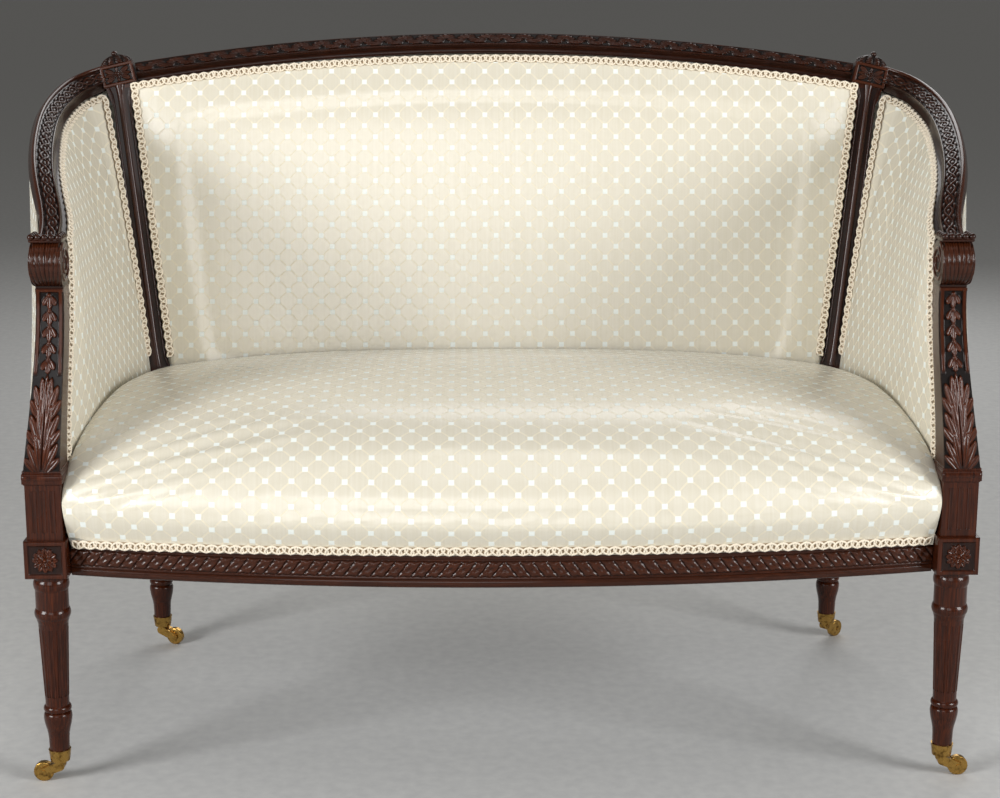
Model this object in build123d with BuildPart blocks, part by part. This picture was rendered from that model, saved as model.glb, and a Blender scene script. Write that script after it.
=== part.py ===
"""Show-wood settee: bowed mahogany frame, stuffed seat, back and wings, brass cup casters.

Millimetres, +Z up, front facing -Y. The origin is on the floor, in the middle of the width and depth.
"""
import os
from math import asin, atan2, cos, degrees, radians, sin, tan

from build123d import *

os.makedirs("parts", exist_ok=True)

# Stance
front_leg_spacing = 1100.0
rear_leg_spacing = 998.0
leg_depth_spacing = 500.0

# Casters
wheel_diameter = 25.0
wheel_width = 9.0
wheel_edge_radius = 1.5
caster_trail = 20.5
axle_diameter = 4.0
axle_head_diameter = 6.4
axle_head_height = 1.0
axle_eye_radius = 5.5
horn_width = 15.0
horn_arm_radius = 6.0
horn_boss_radius = 7.0
horn_boss_height = 6.0
horn_cup_gap = 0.3
wheel_side_gap = 0.5
wheel_rim_gap = 0.9
cup_bottom = 27.0
cup_height = 15.0
cup_top_diameter = 27.5
cup_foot_diameter = 23.6
cup_wall = 1.5
cup_floor = 3.0
pivot_diameter = 6.0
pivot_head_diameter = 10.0
pivot_head_height = 1.6
pivot_head_gap = 0.3
pivot_pocket_gap = 0.6

# Turned legs: heights above the floor and diameters
neck_z = 53.0
neck_diameter = 25.0
bulb_z = 82.0
bulb_diameter = 34.0
ring_z = 96.5
ring_height = 9.0
ring_diameter = 34.0
groove_diameter = 29.0
shaft_foot_z = 107.0
shaft_foot_diameter = 29.0
shaft_top_z = 207.0
shaft_top_diameter = 36.5
collar_z = 220.0
collar_height = 13.0
collar_diameter = 44.0
upper_neck_diameter = 40.0
upper_ring_z = 257.0
upper_ring_height = 14.0
upper_ring_diameter = 43.5
flute_count = 12
flute_radius = 3.2
flute_sink = 1.6
flute_margin = 6.0

# Leg blocks and posts
block_width = 51.0
block_depth = 52.0
block_height = 47.0
rear_block_size = 46.0
rear_block_margin = 4.0
post_width = 43.0
post_top = 387.0
cap_width = 48.0
cap_height = 15.0
cap_chamfer = 3.0
post_flute_pitch = 11.0
post_flute_radius = 4.0
post_flute_sink = 1.8
post_flute_margin = 9.0

# Seat rails
rail_bottom = 270.0
rail_height = 60.0
front_rail_thickness = 38.0
back_rail_thickness = 38.0
side_rail_thickness = 36.0
front_bow = 49.0
front_rail_setback = 20.0
side_bow = 32.0
side_rail_inset = 2.0
bead_height = 9.0
bead_depth = 3.0
carved_band_height = 15.5
carved_band_sink = 2.5
fillet_height = 3.5
cover_rebate = 4.0
corner_block_size = 70.0
corner_block_height = 30.0
corner_block_reach = 8.0

# Arms
support_foot_width = 43.5
support_foot_depth = 46.0
support_top = 614.0
support_top_width = 33.0
support_sweep = 46.0
support_lean_in = 9.0
scroll_radius = 30.0
scroll_width = 38.0
scroll_overhang = 8.0
arm_rail_thickness = 24.0
arm_rail_width = 33.0
arm_corner_extra_width = 5.0
arm_edge_radius = 5.0
arm_edge_overhang = 15.0
arm_edge_spread = 59.0
arm_edge_rise = 15.0

# Back
stile_foot_x = 490.0
stile_head_x = 541.0
stile_foot_z = 424.0
stile_head_drop = 18.0
stile_foot_setback = 490.0
stile_rake_run = 70.0
stile_width = 26.0
stile_depth = 36.0
stile_flare = 30.0
tablet_width = 48.0
tablet_height = 31.0
tablet_tilt = 13.0
tablet_drop = 60.0
tablet_proud = 2.0
crest_top = 898.0
crest_radius = 3180.0
crest_height = 29.0
crest_roll = 5.0
finial_width = 40.0
finial_height = 14.0
finial_depth = 22.0
finial_ball_radius = 4.0

# Upholstery
seat_roll_overhang = 17.0
seat_lip_bottom = 303.0
seat_lip_thickness = 9.0
seat_crown_z = 457.0
seat_side_gap = 1.5
seat_edge_width = 60.0
stuffing_height = 28.0
spring_height = 113.0
spring_diameter = 84.0
spring_waist = 58.0
spring_wall = 4.0
spring_rows = 3
springs_per_row = 5
spring_pitch_x = 165.0
spring_pitch_y = 125.0
pad_thickness = 16.0
wing_crown = 7.0
wing_foot_z = 335.0
wing_front_inset = 6.5
wing_front_setback = 8.0
wing_rear_setback = 18.0
wing_foot_swing = 1.6
wing_side_lip = 3.0
wing_top_drop = 9.0
back_crown = 15.0
back_pad_gap = 0.5
sheet_thickness = 1.5
cover_thickness = 2.5
cover_bulge = 5.0
cover_foot_rise = 13.0
gimp_width = 12.5
gimp_thickness = 2.2
webbing_width = 50.0
strap_margin = 6.0
stuffing_rail_height = 30.0
stuffing_rail_thickness = 22.0

# Fastenings and clearances
dowel_diameter = 10.0
dowel_length = 36.0
joint_fit = 0.05
running_fit = 0.05
soft_gap = 0.3
strap_gap = 0.1

# Places worked out from the sizes above
tablet_z = crest_top - tablet_drop
stile_head_z = tablet_z - stile_head_drop
rake = atan2(stile_rake_run, stile_head_z - stile_foot_z)
crest_reach = stile_foot_setback + (crest_top - stile_foot_z) * tan(rake) + stile_depth * cos(rake)
rail_reach = block_depth / 2 - front_rail_setback + front_bow
front_y = -(crest_reach - rail_reach - seat_roll_overhang) / 2
rear_y = front_y + leg_depth_spacing
front_x = front_leg_spacing / 2
rear_x = rear_leg_spacing / 2
wheel_radius = wheel_diameter / 2
leg_foot = cup_bottom + cup_floor
cup_top = cup_bottom + cup_height
rail_top = rail_bottom + rail_height
rail_mid_z = rail_bottom + rail_height / 2
block_top = rail_bottom + block_height
cap_top = post_top + cap_height
block_inner_x = front_x - block_width / 2
rear_block_inner_x = rear_x - rear_block_size / 2
back_normal = Vector(0, -cos(rake), sin(rake))
back_up = Vector(0, sin(rake), cos(rake))


def behind(distance):
    """Y of a point this far behind the front leg axes."""
    return front_y + distance


def stile_front_y(z):
    """Y of the raked front plane of the back at a height."""
    return behind(stile_foot_setback) + (z - stile_foot_z) * tan(rake)


def stile_x(z):
    """Distance of a stile's middle from the centre line at a height."""
    return stile_foot_x + (z - stile_foot_z) * (stile_head_x - stile_foot_x) / (stile_head_z - stile_foot_z)


def save(builder, name):
    """Label a finished piece and write it to its own file."""
    builder.part.label = name
    export_step(builder.part, f"parts/{name}.step")


def save_mirrored(builder, name):
    """Write the left-hand twin of a right-hand piece."""
    with BuildPart() as twin:
        mirror(builder.part, about=Plane.YZ)
    save(twin, name)
    return twin


def drill(planes, diameter, length):
    """Cut round holes, each centred on its plane's origin and running along its normal."""
    for plane in planes:
        with Locations(plane.location):
            Cylinder(diameter / 2 + joint_fit, length + 2 * joint_fit, mode=Mode.SUBTRACT)


def twin_planes(planes):
    """The same planes with their images across the centre line."""
    images = [Plane(origin=(-p.origin.X, p.origin.Y, p.origin.Z), z_dir=(-p.z_dir.X, p.z_dir.Y, p.z_dir.Z))
              for p in planes]
    return planes + images


# Dowels: each plane lies on a joint's face
dowel_zs = (rail_mid_z - rail_height / 4, rail_mid_z + rail_height / 4)
front_rail_mid_y = behind(front_rail_setback - block_depth / 2 + front_rail_thickness / 2)
side_front_x = front_x + block_width / 2 - side_rail_inset - side_rail_thickness / 2
side_rear_x = rear_x + rear_block_size / 2 - side_rail_inset - side_rail_thickness / 2
side_front_y = behind(block_depth / 2)
side_rear_y = rear_y - rear_block_size / 2
support_top_x = front_x - support_lean_in
support_dowels = [Plane(origin=(front_x, front_y, cap_top))]
arm_dowels = [Plane(origin=(support_top_x, behind(support_sweep), support_top))]
front_rail_dowels = [Plane(origin=(block_inner_x, front_rail_mid_y, z), z_dir=(1, 0, 0)) for z in dowel_zs]
side_front_dowels = [Plane(origin=(side_front_x, side_front_y, z), z_dir=(0, 1, 0)) for z in dowel_zs]
side_rear_dowels = [Plane(origin=(side_rear_x, side_rear_y, z), z_dir=(0, 1, 0)) for z in dowel_zs]
back_rail_dowels = [Plane(origin=(rear_block_inner_x, rear_y, z), z_dir=(1, 0, 0)) for z in dowel_zs]


def leg_profile():
    """Half section of a turned leg, from its end in the caster cup up to the block."""
    ring_low = ring_z - ring_height / 2
    ring_high = ring_z + ring_height / 2
    collar_low = collar_z - collar_height / 2
    collar_high = collar_z + collar_height / 2
    upper_low = upper_ring_z - upper_ring_height / 2
    upper_high = upper_ring_z + upper_ring_height / 2
    foot_radius = cup_foot_diameter / 2 - cup_wall - joint_fit
    mouth_radius = cup_top_diameter / 2 - cup_wall - joint_fit
    Polyline((0, leg_foot), (foot_radius, leg_foot), (mouth_radius, cup_top), (neck_diameter / 2, neck_z))
    Spline((neck_diameter / 2, neck_z), (bulb_diameter / 2, bulb_z), (groove_diameter / 2, ring_low),
           tangents=((0, 1), (-1, 0.4)))
    ThreePointArc((groove_diameter / 2, ring_low), (ring_diameter / 2, ring_z),
                  (groove_diameter / 2, ring_high))
    Polyline((groove_diameter / 2, ring_high), (shaft_foot_diameter / 2, shaft_foot_z),
             (shaft_top_diameter / 2, shaft_top_z), (upper_neck_diameter / 2, collar_low))
    ThreePointArc((upper_neck_diameter / 2, collar_low), (collar_diameter / 2, collar_z),
                  (upper_neck_diameter / 2, collar_high))
    Line((upper_neck_diameter / 2, collar_high), (upper_neck_diameter / 2, upper_low))
    ThreePointArc((upper_neck_diameter / 2, upper_low), (upper_ring_diameter / 2, upper_ring_z),
                  (upper_neck_diameter / 2, upper_high))
    Polyline((upper_neck_diameter / 2, upper_high), (upper_neck_diameter / 2, rail_bottom), (0, rail_bottom),
             (0, leg_foot))


def turn_leg(x, y):
    """Revolve a leg about its own axis and sink the pocket for the caster's pivot head."""
    with BuildSketch(Plane(origin=(x, y, 0), x_dir=(1, 0, 0), z_dir=(0, -1, 0))) as profile:
        with BuildLine():
            leg_profile()
        make_face()
    revolve(profile.sketch, axis=Axis((x, y, 0), (0, 0, 1)))
    pocket_depth = pivot_head_gap + pivot_head_height + pivot_pocket_gap
    with Locations((x, y, leg_foot + pocket_depth / 2)):
        Cylinder(pivot_head_diameter / 2 + pivot_pocket_gap, pocket_depth, mode=Mode.SUBTRACT)


def cut_shaft_flutes(x, y):
    """Cut the ring of hollow flutes down a leg's tapered shaft."""
    low_radius = shaft_foot_diameter / 2 + flute_radius - flute_sink
    high_radius = shaft_top_diameter / 2 + flute_radius - flute_sink
    low_z = shaft_foot_z + flute_margin
    high_z = shaft_top_z - flute_margin
    for index in range(flute_count):
        turn = radians(360 * index / flute_count)
        outward = Vector(cos(turn), sin(turn), 0)
        low = Vector(x, y, low_z) + outward * low_radius
        high = Vector(x, y, high_z) + outward * high_radius
        with BuildSketch(Plane(origin=low, z_dir=high - low)) as flute:
            Circle(flute_radius)
        extrude(flute.sketch, amount=(high - low).length, mode=Mode.SUBTRACT)


def cut_post_flutes(x, y):
    """Cut three stopped flutes in the front and in the outer face of a leg's square post."""
    length = post_top - block_top - 2 * post_flute_margin
    offset = post_width / 2 + post_flute_radius - post_flute_sink
    middle = (post_top + block_top) / 2
    for step in (-1, 0, 1):
        along = step * post_flute_pitch
        with Locations((x + along, y - offset, middle), (x + offset, y + along, middle)):
            Cylinder(post_flute_radius, length, mode=Mode.SUBTRACT)


# Front legs
with BuildPart() as front_leg_right:
    turn_leg(front_x, front_y)
    cut_shaft_flutes(front_x, front_y)
    with Locations((front_x, front_y, rail_bottom + block_height / 2)):
        Box(block_width, block_depth, block_height)
    with Locations((front_x, front_y, (block_top + post_top) / 2)):
        Box(post_width, post_width, post_top - block_top)
    cut_post_flutes(front_x, front_y)
    with BuildSketch(Plane.XY.offset(post_top)):
        with Locations((front_x, front_y)):
            Rectangle(cap_width, cap_width)
    extrude(amount=cap_height)
    chamfer(front_leg_right.faces().sort_by(Axis.Z)[-1].edges(), length=cap_chamfer)
    drill(support_dowels, dowel_diameter, dowel_length)
    drill(front_rail_dowels, dowel_diameter, dowel_length)
    drill(side_front_dowels, dowel_diameter, dowel_length)
save(front_leg_right, "front_leg_right")
front_leg_left = save_mirrored(front_leg_right, "front_leg_left")

# Arm supports: width, depth, lean and sweep change smoothly from the cap to the scroll
support_steps = 5
with BuildPart() as arm_support_right:
    for step in range(support_steps + 1):
        rise = step / support_steps
        ease = rise * rise * (3 - 2 * rise)
        settle = rise * (2 - rise)
        width = support_foot_width + (support_top_width - support_foot_width) * settle
        depth = support_foot_depth + (support_top_width - support_foot_depth) * settle
        with BuildSketch(Plane.XY.offset(cap_top + (support_top - cap_top) * rise)):
            with Locations((front_x - support_lean_in * settle, behind(support_sweep * ease))):
                Rectangle(width, depth)
    loft()
    drill(support_dowels, dowel_diameter, dowel_length)
    drill(arm_dowels, dowel_diameter, dowel_length)
save(arm_support_right, "arm_support_right")
arm_support_left = save_mirrored(arm_support_right, "arm_support_left")

# Back posts: turned rear leg, block, raked stile and tablet in one piece of wood
tablet_side = Vector(cos(radians(tablet_tilt)), 0, 0) - back_up * sin(radians(tablet_tilt))
tablet_up = back_up * cos(radians(tablet_tilt)) + Vector(sin(radians(tablet_tilt)), 0, 0)
tablet_middle = Vector(stile_x(tablet_z), stile_front_y(tablet_z), tablet_z) + back_normal * tablet_proud
tablet_depth = stile_depth + 2 * tablet_proud
tablet_foot_z = tablet_z - tablet_height / 2
rear_block_top = rail_top + rear_block_margin
stile_sections = [
    (rear_block_top, rear_x, rear_y, rear_block_size, rear_block_size),
    (stile_foot_z, stile_x(stile_foot_z), stile_front_y(stile_foot_z) + stile_depth / 2,
     stile_width, stile_depth),
    (tablet_foot_z - stile_flare, stile_x(tablet_foot_z - stile_flare),
     stile_front_y(tablet_foot_z - stile_flare) + stile_depth / 2, stile_width, stile_depth),
    (tablet_foot_z + tablet_proud, stile_x(tablet_foot_z), stile_front_y(tablet_foot_z) + stile_depth / 2,
     tablet_width - 2 * tablet_proud, stile_depth),
]
with BuildPart() as back_post_right:
    turn_leg(rear_x, rear_y)
    with Locations((rear_x, rear_y, (rail_bottom + rear_block_top) / 2)):
        Box(rear_block_size, rear_block_size, rear_block_top - rail_bottom)
    for z, x, y, width, depth in stile_sections:
        with BuildSketch(Plane.XY.offset(z)):
            with Locations((x, y)):
                Rectangle(width, depth)
    loft(ruled=True)
    with BuildSketch(Plane(origin=tablet_middle, x_dir=tablet_side, z_dir=-back_normal)):
        Rectangle(tablet_width, tablet_height)
    extrude(amount=tablet_depth)
    drill(side_rear_dowels, dowel_diameter, dowel_length)
    drill(back_rail_dowels, dowel_diameter, dowel_length)
save(back_post_right, "back_post_right")
back_post_left = save_mirrored(back_post_right, "back_post_left")

# Shell finials, seated on the tablets
finial_setback = (tablet_depth - finial_depth) / 2
finial_base = tablet_middle + tablet_up * (tablet_height / 2) - back_normal * finial_setback
with BuildPart() as finial_right:
    with BuildSketch(Plane(origin=finial_base, x_dir=tablet_side, z_dir=back_normal)):
        with BuildLine():
            ThreePointArc((-finial_width / 2, 0), (0, finial_height), (finial_width / 2, 0))
            Line((finial_width / 2, 0), (-finial_width / 2, 0))
        make_face()
    extrude(amount=-finial_depth)
    with Locations(finial_base - back_normal * (finial_depth / 2) + tablet_up * finial_height):
        Sphere(finial_ball_radius)
save(finial_right, "finial_right")
finial_left = save_mirrored(finial_right, "finial_left")

# Crest rail: an arch in the raked plane of the back, cut to fit between the tablets
crest_face_top = Vector(0, stile_front_y(crest_top), crest_top)
crest_axis = Axis(crest_face_top - back_up * crest_radius, -back_normal)
crest_half_angle = degrees(asin(stile_head_x / crest_radius))
crest_plane = Plane(origin=crest_face_top, x_dir=back_normal, z_dir=(-1, 0, 0))
with BuildPart() as crest_rail:
    with BuildSketch(crest_plane) as crest_section:
        with BuildLine():
            Polyline((-crest_roll, 0), (-stile_depth, 0), (-stile_depth, -crest_height),
                     (-crest_roll, -crest_height), (0, crest_roll - crest_height), (0, -crest_roll))
            RadiusArc((0, -crest_roll), (-crest_roll, 0), -crest_roll)
        make_face()
    revolve(crest_section.sketch, axis=crest_axis, revolution_arc=crest_half_angle)
    mirror(about=Plane.YZ)
    add(back_post_right.part, mode=Mode.SUBTRACT)
    add(back_post_left.part, mode=Mode.SUBTRACT)
save(crest_rail, "crest_rail")

# Arm rails: outer edge of the moulded face from the scroll to the tablet. Each row gives shares of the run
# back, of the rise and of the spread outwards, then how far the face looks outward, forward and upward
arm_edge = [
    (0.000, 0.000, 0.000, -0.10, 0.30, 0.95),
    (0.067, 0.083, 0.063, -0.15, 0.45, 0.88),
    (0.191, 0.289, 0.360, -0.25, 0.40, 0.88),
    (0.344, 0.478, 0.671, -0.35, 0.35, 0.87),
    (0.516, 0.628, 0.880, -0.46, 0.34, 0.82),
    (0.707, 0.761, 0.986, -0.58, 0.42, 0.69),
    (0.860, 0.872, 0.840, -0.55, 0.68, 0.50),
    (0.956, 0.944, 0.512, -0.28, 0.92, 0.28),
    (1.000, 1.000, 0.000, -0.08, 0.98, 0.18),
]
edge_end_z = tablet_z + arm_edge_rise
edge_start = Vector(support_top_x + arm_edge_overhang, behind(support_sweep), support_top + 2 * scroll_radius)
edge_end = Vector(stile_x(edge_end_z) + arm_edge_overhang, stile_front_y(edge_end_z), edge_end_z)
edge_span = edge_end - edge_start
edge_points = [
    edge_start + Vector(edge_span.X * run + arm_edge_spread * spread, edge_span.Y * run, edge_span.Z * rise)
    for run, rise, spread, _, _, _ in arm_edge
]
arm_frames = []
for index, point in enumerate(edge_points):
    before = edge_points[max(index - 1, 0)]
    after = edge_points[min(index + 1, len(edge_points) - 1)]
    along = (after - before).normalized()
    look = Vector(arm_edge[index][3], -arm_edge[index][4], arm_edge[index][5])
    face = (look - along * look.dot(along)).normalized()
    outward = along.cross(face)
    corner = sin(radians(180 * index / (len(edge_points) - 1)))
    width = arm_rail_width + arm_corner_extra_width * corner
    arm_frames.append((point, along, face, outward, width))
scroll_middle = Vector(support_top_x, behind(support_sweep - scroll_overhang), support_top + scroll_radius)
with BuildPart() as arm_rail_right:
    for point, along, face, outward, width in arm_frames:
        middle = point - outward * (width / 2) - face * (arm_rail_thickness / 2)
        with BuildSketch(Plane(origin=middle, x_dir=outward, z_dir=along)):
            RectangleRounded(width, arm_rail_thickness, arm_edge_radius)
    loft()
    with BuildSketch(Plane(origin=scroll_middle, z_dir=(1, 0, 0)).offset(-scroll_width / 2)):
        Circle(scroll_radius)
    extrude(amount=scroll_width)
    with Locations((support_top_x, behind(support_sweep), support_top + scroll_radius / 2)):
        Box(support_top_width, support_top_width, scroll_radius)
    add(back_post_right.part, mode=Mode.SUBTRACT)
    add(finial_right.part, mode=Mode.SUBTRACT)
    drill(arm_dowels, dowel_diameter, dowel_length)
save(arm_rail_right, "arm_rail_right")
arm_rail_left = save_mirrored(arm_rail_right, "arm_rail_left")

# Front rail: moulded section carried round the bow of the seat
rail_face_y = behind(-rail_reach)
bow_radius = (block_inner_x ** 2 + front_bow ** 2) / (2 * front_bow)
bow_axis = Axis((0, rail_face_y + bow_radius, 0), (0, 0, 1))
bow_half_angle = degrees(asin(front_x / bow_radius))
rail_back_y = rail_face_y + front_rail_thickness
band_low = rail_bottom + bead_height
band_high = band_low + carved_band_height
fillet_top = band_high + fillet_height
with BuildPart() as front_rail:
    with BuildSketch(Plane.YZ) as rail_section:
        with BuildLine():
            bead_y = rail_face_y + bead_depth
            band_y = rail_face_y + carved_band_sink
            rebate_y = rail_face_y + cover_rebate
            ThreePointArc((bead_y, rail_bottom), (rail_face_y, rail_bottom + bead_height / 2), (bead_y, band_low))
            Polyline((bead_y, band_low), (band_y, band_low), (band_y, band_high), (rail_face_y, band_high),
                     (rail_face_y, fillet_top), (rebate_y, fillet_top), (rebate_y, rail_top),
                     (rail_back_y, rail_top), (rail_back_y, rail_bottom), (bead_y, rail_bottom))
        make_face()
    revolve(rail_section.sketch, axis=bow_axis, revolution_arc=bow_half_angle)
    mirror(about=Plane.YZ)
    with Locations((0, front_y, rail_mid_z)):
        Box(2 * block_inner_x, 2 * rail_reach + 2 * front_rail_thickness, rail_height, mode=Mode.INTERSECT)
    drill(twin_planes(front_rail_dowels), dowel_diameter, dowel_length)
save(front_rail, "front_rail")

# Side rails, bowed outwards between the leg blocks
side_outer_front_x = side_front_x + side_rail_thickness / 2
side_outer_rear_x = side_rear_x + side_rail_thickness / 2
side_middle_x = (side_outer_front_x + side_outer_rear_x) / 2 + side_bow
side_middle_y = (side_front_y + side_rear_y) / 2
with BuildPart() as side_rail_right:
    with BuildSketch(Plane.XY.offset(rail_bottom)):
        with BuildLine():
            side_outer = ThreePointArc((side_outer_front_x, side_front_y), (side_middle_x, side_middle_y),
                                       (side_outer_rear_x, side_rear_y))
            Line((side_outer_rear_x, side_rear_y), (side_outer_rear_x - side_rail_thickness, side_rear_y))
            ThreePointArc((side_outer_rear_x - side_rail_thickness, side_rear_y),
                          (side_middle_x - side_rail_thickness, side_middle_y),
                          (side_outer_front_x - side_rail_thickness, side_front_y))
            Line((side_outer_front_x - side_rail_thickness, side_front_y), (side_outer_front_x, side_front_y))
        make_face()
    extrude(amount=rail_height)
    drill(side_front_dowels, dowel_diameter, dowel_length)
    drill(side_rear_dowels, dowel_diameter, dowel_length)
save(side_rail_right, "side_rail_right")
side_rail_left = save_mirrored(side_rail_right, "side_rail_left")

# Back rail
with BuildPart() as back_rail:
    with Locations((0, rear_y, rail_mid_z)):
        Box(2 * rear_block_inner_x, back_rail_thickness, rail_height)
    drill(twin_planes(back_rail_dowels), dowel_diameter, dowel_length)
save(back_rail, "back_rail")

# Dowels, one group
with BuildPart() as dowels:
    for plane in twin_planes(support_dowels + arm_dowels + front_rail_dowels + side_front_dowels
                             + side_rear_dowels + back_rail_dowels):
        with Locations(plane.location):
            Cylinder(dowel_diameter / 2, dowel_length)
save(dowels, "dowels")

# Wings: curves along the foot and the head of each inside wing, from the arm support to the stile
wing_front = Vector(block_inner_x + wing_front_inset, behind(wing_front_setback), wing_foot_z)
wing_rear = Vector(stile_foot_x, behind(stile_foot_setback - wing_rear_setback), wing_foot_z)
wing_steps = 7


def wing_foot_at(run):
    """Point on the foot of the right-hand inside wing at a share of its run from the front to the stile."""
    swing = run ** wing_foot_swing
    return Vector(wing_front.X + (wing_rear.X - wing_front.X) * swing,
                  wing_front.Y + (wing_rear.Y - wing_front.Y) * run, wing_foot_z)


wing_foot_curve = Spline(*[wing_foot_at(step / wing_steps) for step in range(wing_steps + 1)])
wing_head_curve = Spline(*[point - outward * (width + wing_side_lip) - face * wing_top_drop
                           for point, along, face, outward, width in arm_frames[1:]])
wing_curves = (wing_foot_curve, wing_head_curve)
wing_stations = 9


def bulge_at(share):
    """Share of a side's full bulge at a share of its height."""
    return 4 * share * (1 - share)


def wing_plane(curves, t):
    """Plane of one upright section: x runs outward, y runs from the foot to the head. Also its height."""
    step = 0.01
    low = max(t - step, 0)
    high = min(t + step, 1)
    foot = curves[0] @ t
    head = curves[1] @ t
    travel = (curves[0] @ high) + (curves[1] @ high) - (curves[0] @ low) - (curves[1] @ low)
    up = (head - foot).normalized()
    outward = Vector(travel.Y, -travel.X, 0).normalized()
    outward = (outward - up * outward.dot(up)).normalized()
    return Plane(origin=foot, x_dir=outward, z_dir=outward.cross(up)), (head - foot).length


def upright_face(plane, low, high, length, inner, outer, inner_bulge, outer_bulge):
    """Face of one upright section between two bowed sides. A bulge is positive outwards."""
    inner_side = [(inner + inner_bulge * bulge_at(h / length), h) for h in (low, (low + high) / 2, high)]
    outer_side = [(outer + outer_bulge * bulge_at(h / length), h) for h in (high, (low + high) / 2, low)]
    with BuildSketch(plane) as section:
        with BuildLine():
            ThreePointArc(*inner_side)
            Line(inner_side[-1], outer_side[0])
            ThreePointArc(*outer_side)
            Line(outer_side[-1], inner_side[0])
        make_face()
    return section.sketch


def wing_faces(inner, outer, inner_bulge, outer_bulge, foot_cut=0.0, head_cut=0.0, band=None,
               start=0.0, end=1.0, curves=wing_curves):
    """Upright sections of one layer of a wing, evenly from front to back. A band hangs from the head."""
    faces = []
    for station in range(wing_stations):
        plane, length = wing_plane(curves, start + (end - start) * station / (wing_stations - 1))
        high = length - head_cut
        low = foot_cut if band is None else high - band
        faces.append(upright_face(plane, low, high, length, inner, outer, inner_bulge, outer_bulge))
    return faces


def cut_wing_frame():
    """Trim a wing layer back to the front leg, arm support, arm rail and back post."""
    add(front_leg_right.part, mode=Mode.SUBTRACT)
    add(arm_rail_right.part, mode=Mode.SUBTRACT)
    add(arm_support_right.part, mode=Mode.SUBTRACT)
    add(back_post_right.part, mode=Mode.SUBTRACT)


# Inside wings: stuffed pads with a crown towards the sitter
with BuildPart() as wing_pad_right:
    loft(wing_faces(0, pad_thickness, -wing_crown, -soft_gap))
    cut_wing_frame()
save(wing_pad_right, "wing_pad_right")
wing_pad_left = save_mirrored(wing_pad_right, "wing_pad_left")

# Hessian behind each inside wing
hessian_inner = pad_thickness + soft_gap
hessian_outer = hessian_inner + sheet_thickness
with BuildPart() as wing_hessian_right:
    loft(wing_faces(hessian_inner, hessian_outer, -soft_gap, -soft_gap, head_cut=arm_rail_thickness))
    cut_wing_frame()
save(wing_hessian_right, "wing_hessian_right")
wing_hessian_left = save_mirrored(wing_hessian_right, "wing_hessian_left")

# Stuffing rails on the side rails, at the foot of the wings
rail_inner = hessian_outer + 2 * soft_gap
with BuildPart() as wing_stuffing_rail_right:
    loft(wing_faces(rail_inner, rail_inner + stuffing_rail_thickness, -soft_gap, -soft_gap,
                    foot_cut=rail_top - wing_foot_z, start=0.07, end=0.9))
    with Locations((0, 0, rail_top + stuffing_rail_height / 2)):
        Box(front_leg_spacing + block_width, 2 * crest_reach, stuffing_rail_height, mode=Mode.INTERSECT)
save(wing_stuffing_rail_right, "wing_stuffing_rail_right")
wing_stuffing_rail_left = save_mirrored(wing_stuffing_rail_right, "wing_stuffing_rail_left")

# Outside wing covers: from the side rail's outer face up to the underside of the arm rail
cover_foot_z = rail_bottom + cover_foot_rise
cover_front_x = front_x + support_foot_width / 2 - 2 * cover_thickness
cover_foot = [Vector(cover_front_x, behind(wing_front_setback), cover_foot_z)]
for share in (0.03, 0.2, 0.4, 0.6, 0.8, 0.96):
    place = side_outer @ share
    run = side_outer % share
    cover_foot.append(Vector(place.X + run.Y * soft_gap, place.Y - run.X * soft_gap, cover_foot_z))
cover_foot.append(Vector(rear_x + rear_block_size / 2 + soft_gap, rear_y + rear_block_size / 4, cover_foot_z))
cover_head = [point - face * arm_rail_thickness - outward * arm_edge_radius
              for point, along, face, outward, width in arm_frames[1:]]
cover_curves = (Spline(*cover_foot), Spline(*cover_head))
with BuildPart() as outside_wing_cover_right:
    loft(wing_faces(0, cover_thickness, cover_bulge, cover_bulge, curves=cover_curves))
    cut_wing_frame()
    add(side_rail_right.part, mode=Mode.SUBTRACT)
    # Cut back flush beside the leg block's outer face
    with Locations((front_x + block_width, front_y, rail_bottom + block_height / 2)):
        Box(block_width, block_depth + 2 * soft_gap, block_height + 2 * soft_gap, mode=Mode.SUBTRACT)
save(outside_wing_cover_right, "outside_wing_cover_right")
outside_wing_cover_left = save_mirrored(outside_wing_cover_right, "outside_wing_cover_left")

# Gimp round each inside wing: under the arm rail and beside the stile
seat_line_z = rail_top + (seat_crown_z - rail_top) * 0.7
with BuildPart() as wing_gimp_right:
    loft(wing_faces(-gimp_thickness, -2 * soft_gap, -wing_crown, -wing_crown, band=gimp_width, start=0.05))
    loft(wing_faces(-gimp_thickness, -2 * soft_gap, -wing_crown, -wing_crown,
                    foot_cut=seat_line_z - wing_foot_z, start=0.955, end=0.98))
    cut_wing_frame()
save(wing_gimp_right, "wing_gimp_right")
wing_gimp_left = save_mirrored(wing_gimp_right, "wing_gimp_left")

# Seat: outlines from the rails up to the crown. Each row gives a share of the rise, the front's overhang past
# the rail, and the side and back insets
seat_rise = seat_crown_z - rail_top
seat_levels = [
    (0.00, seat_lip_thickness, 0, 0),
    (0.16, seat_roll_overhang - 3, 0, 0),
    (0.32, seat_roll_overhang, 0, 0),
    (0.46, seat_roll_overhang - 2, 0, 0),
    (0.57, seat_roll_overhang - 9, 1, 0),
    (0.66, -2, 4, 0),
    (0.75, -20, 15, 0),
    (0.84, -52, 45, 2),
    (0.92, -100, 100, 10),
    (0.97, -150, 165, 30),
    (1.00, -205, 250, 70),
]
seat_middle = wing_foot_at(0.5)
rail_end_y = behind(front_rail_setback - block_depth / 2)


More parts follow.
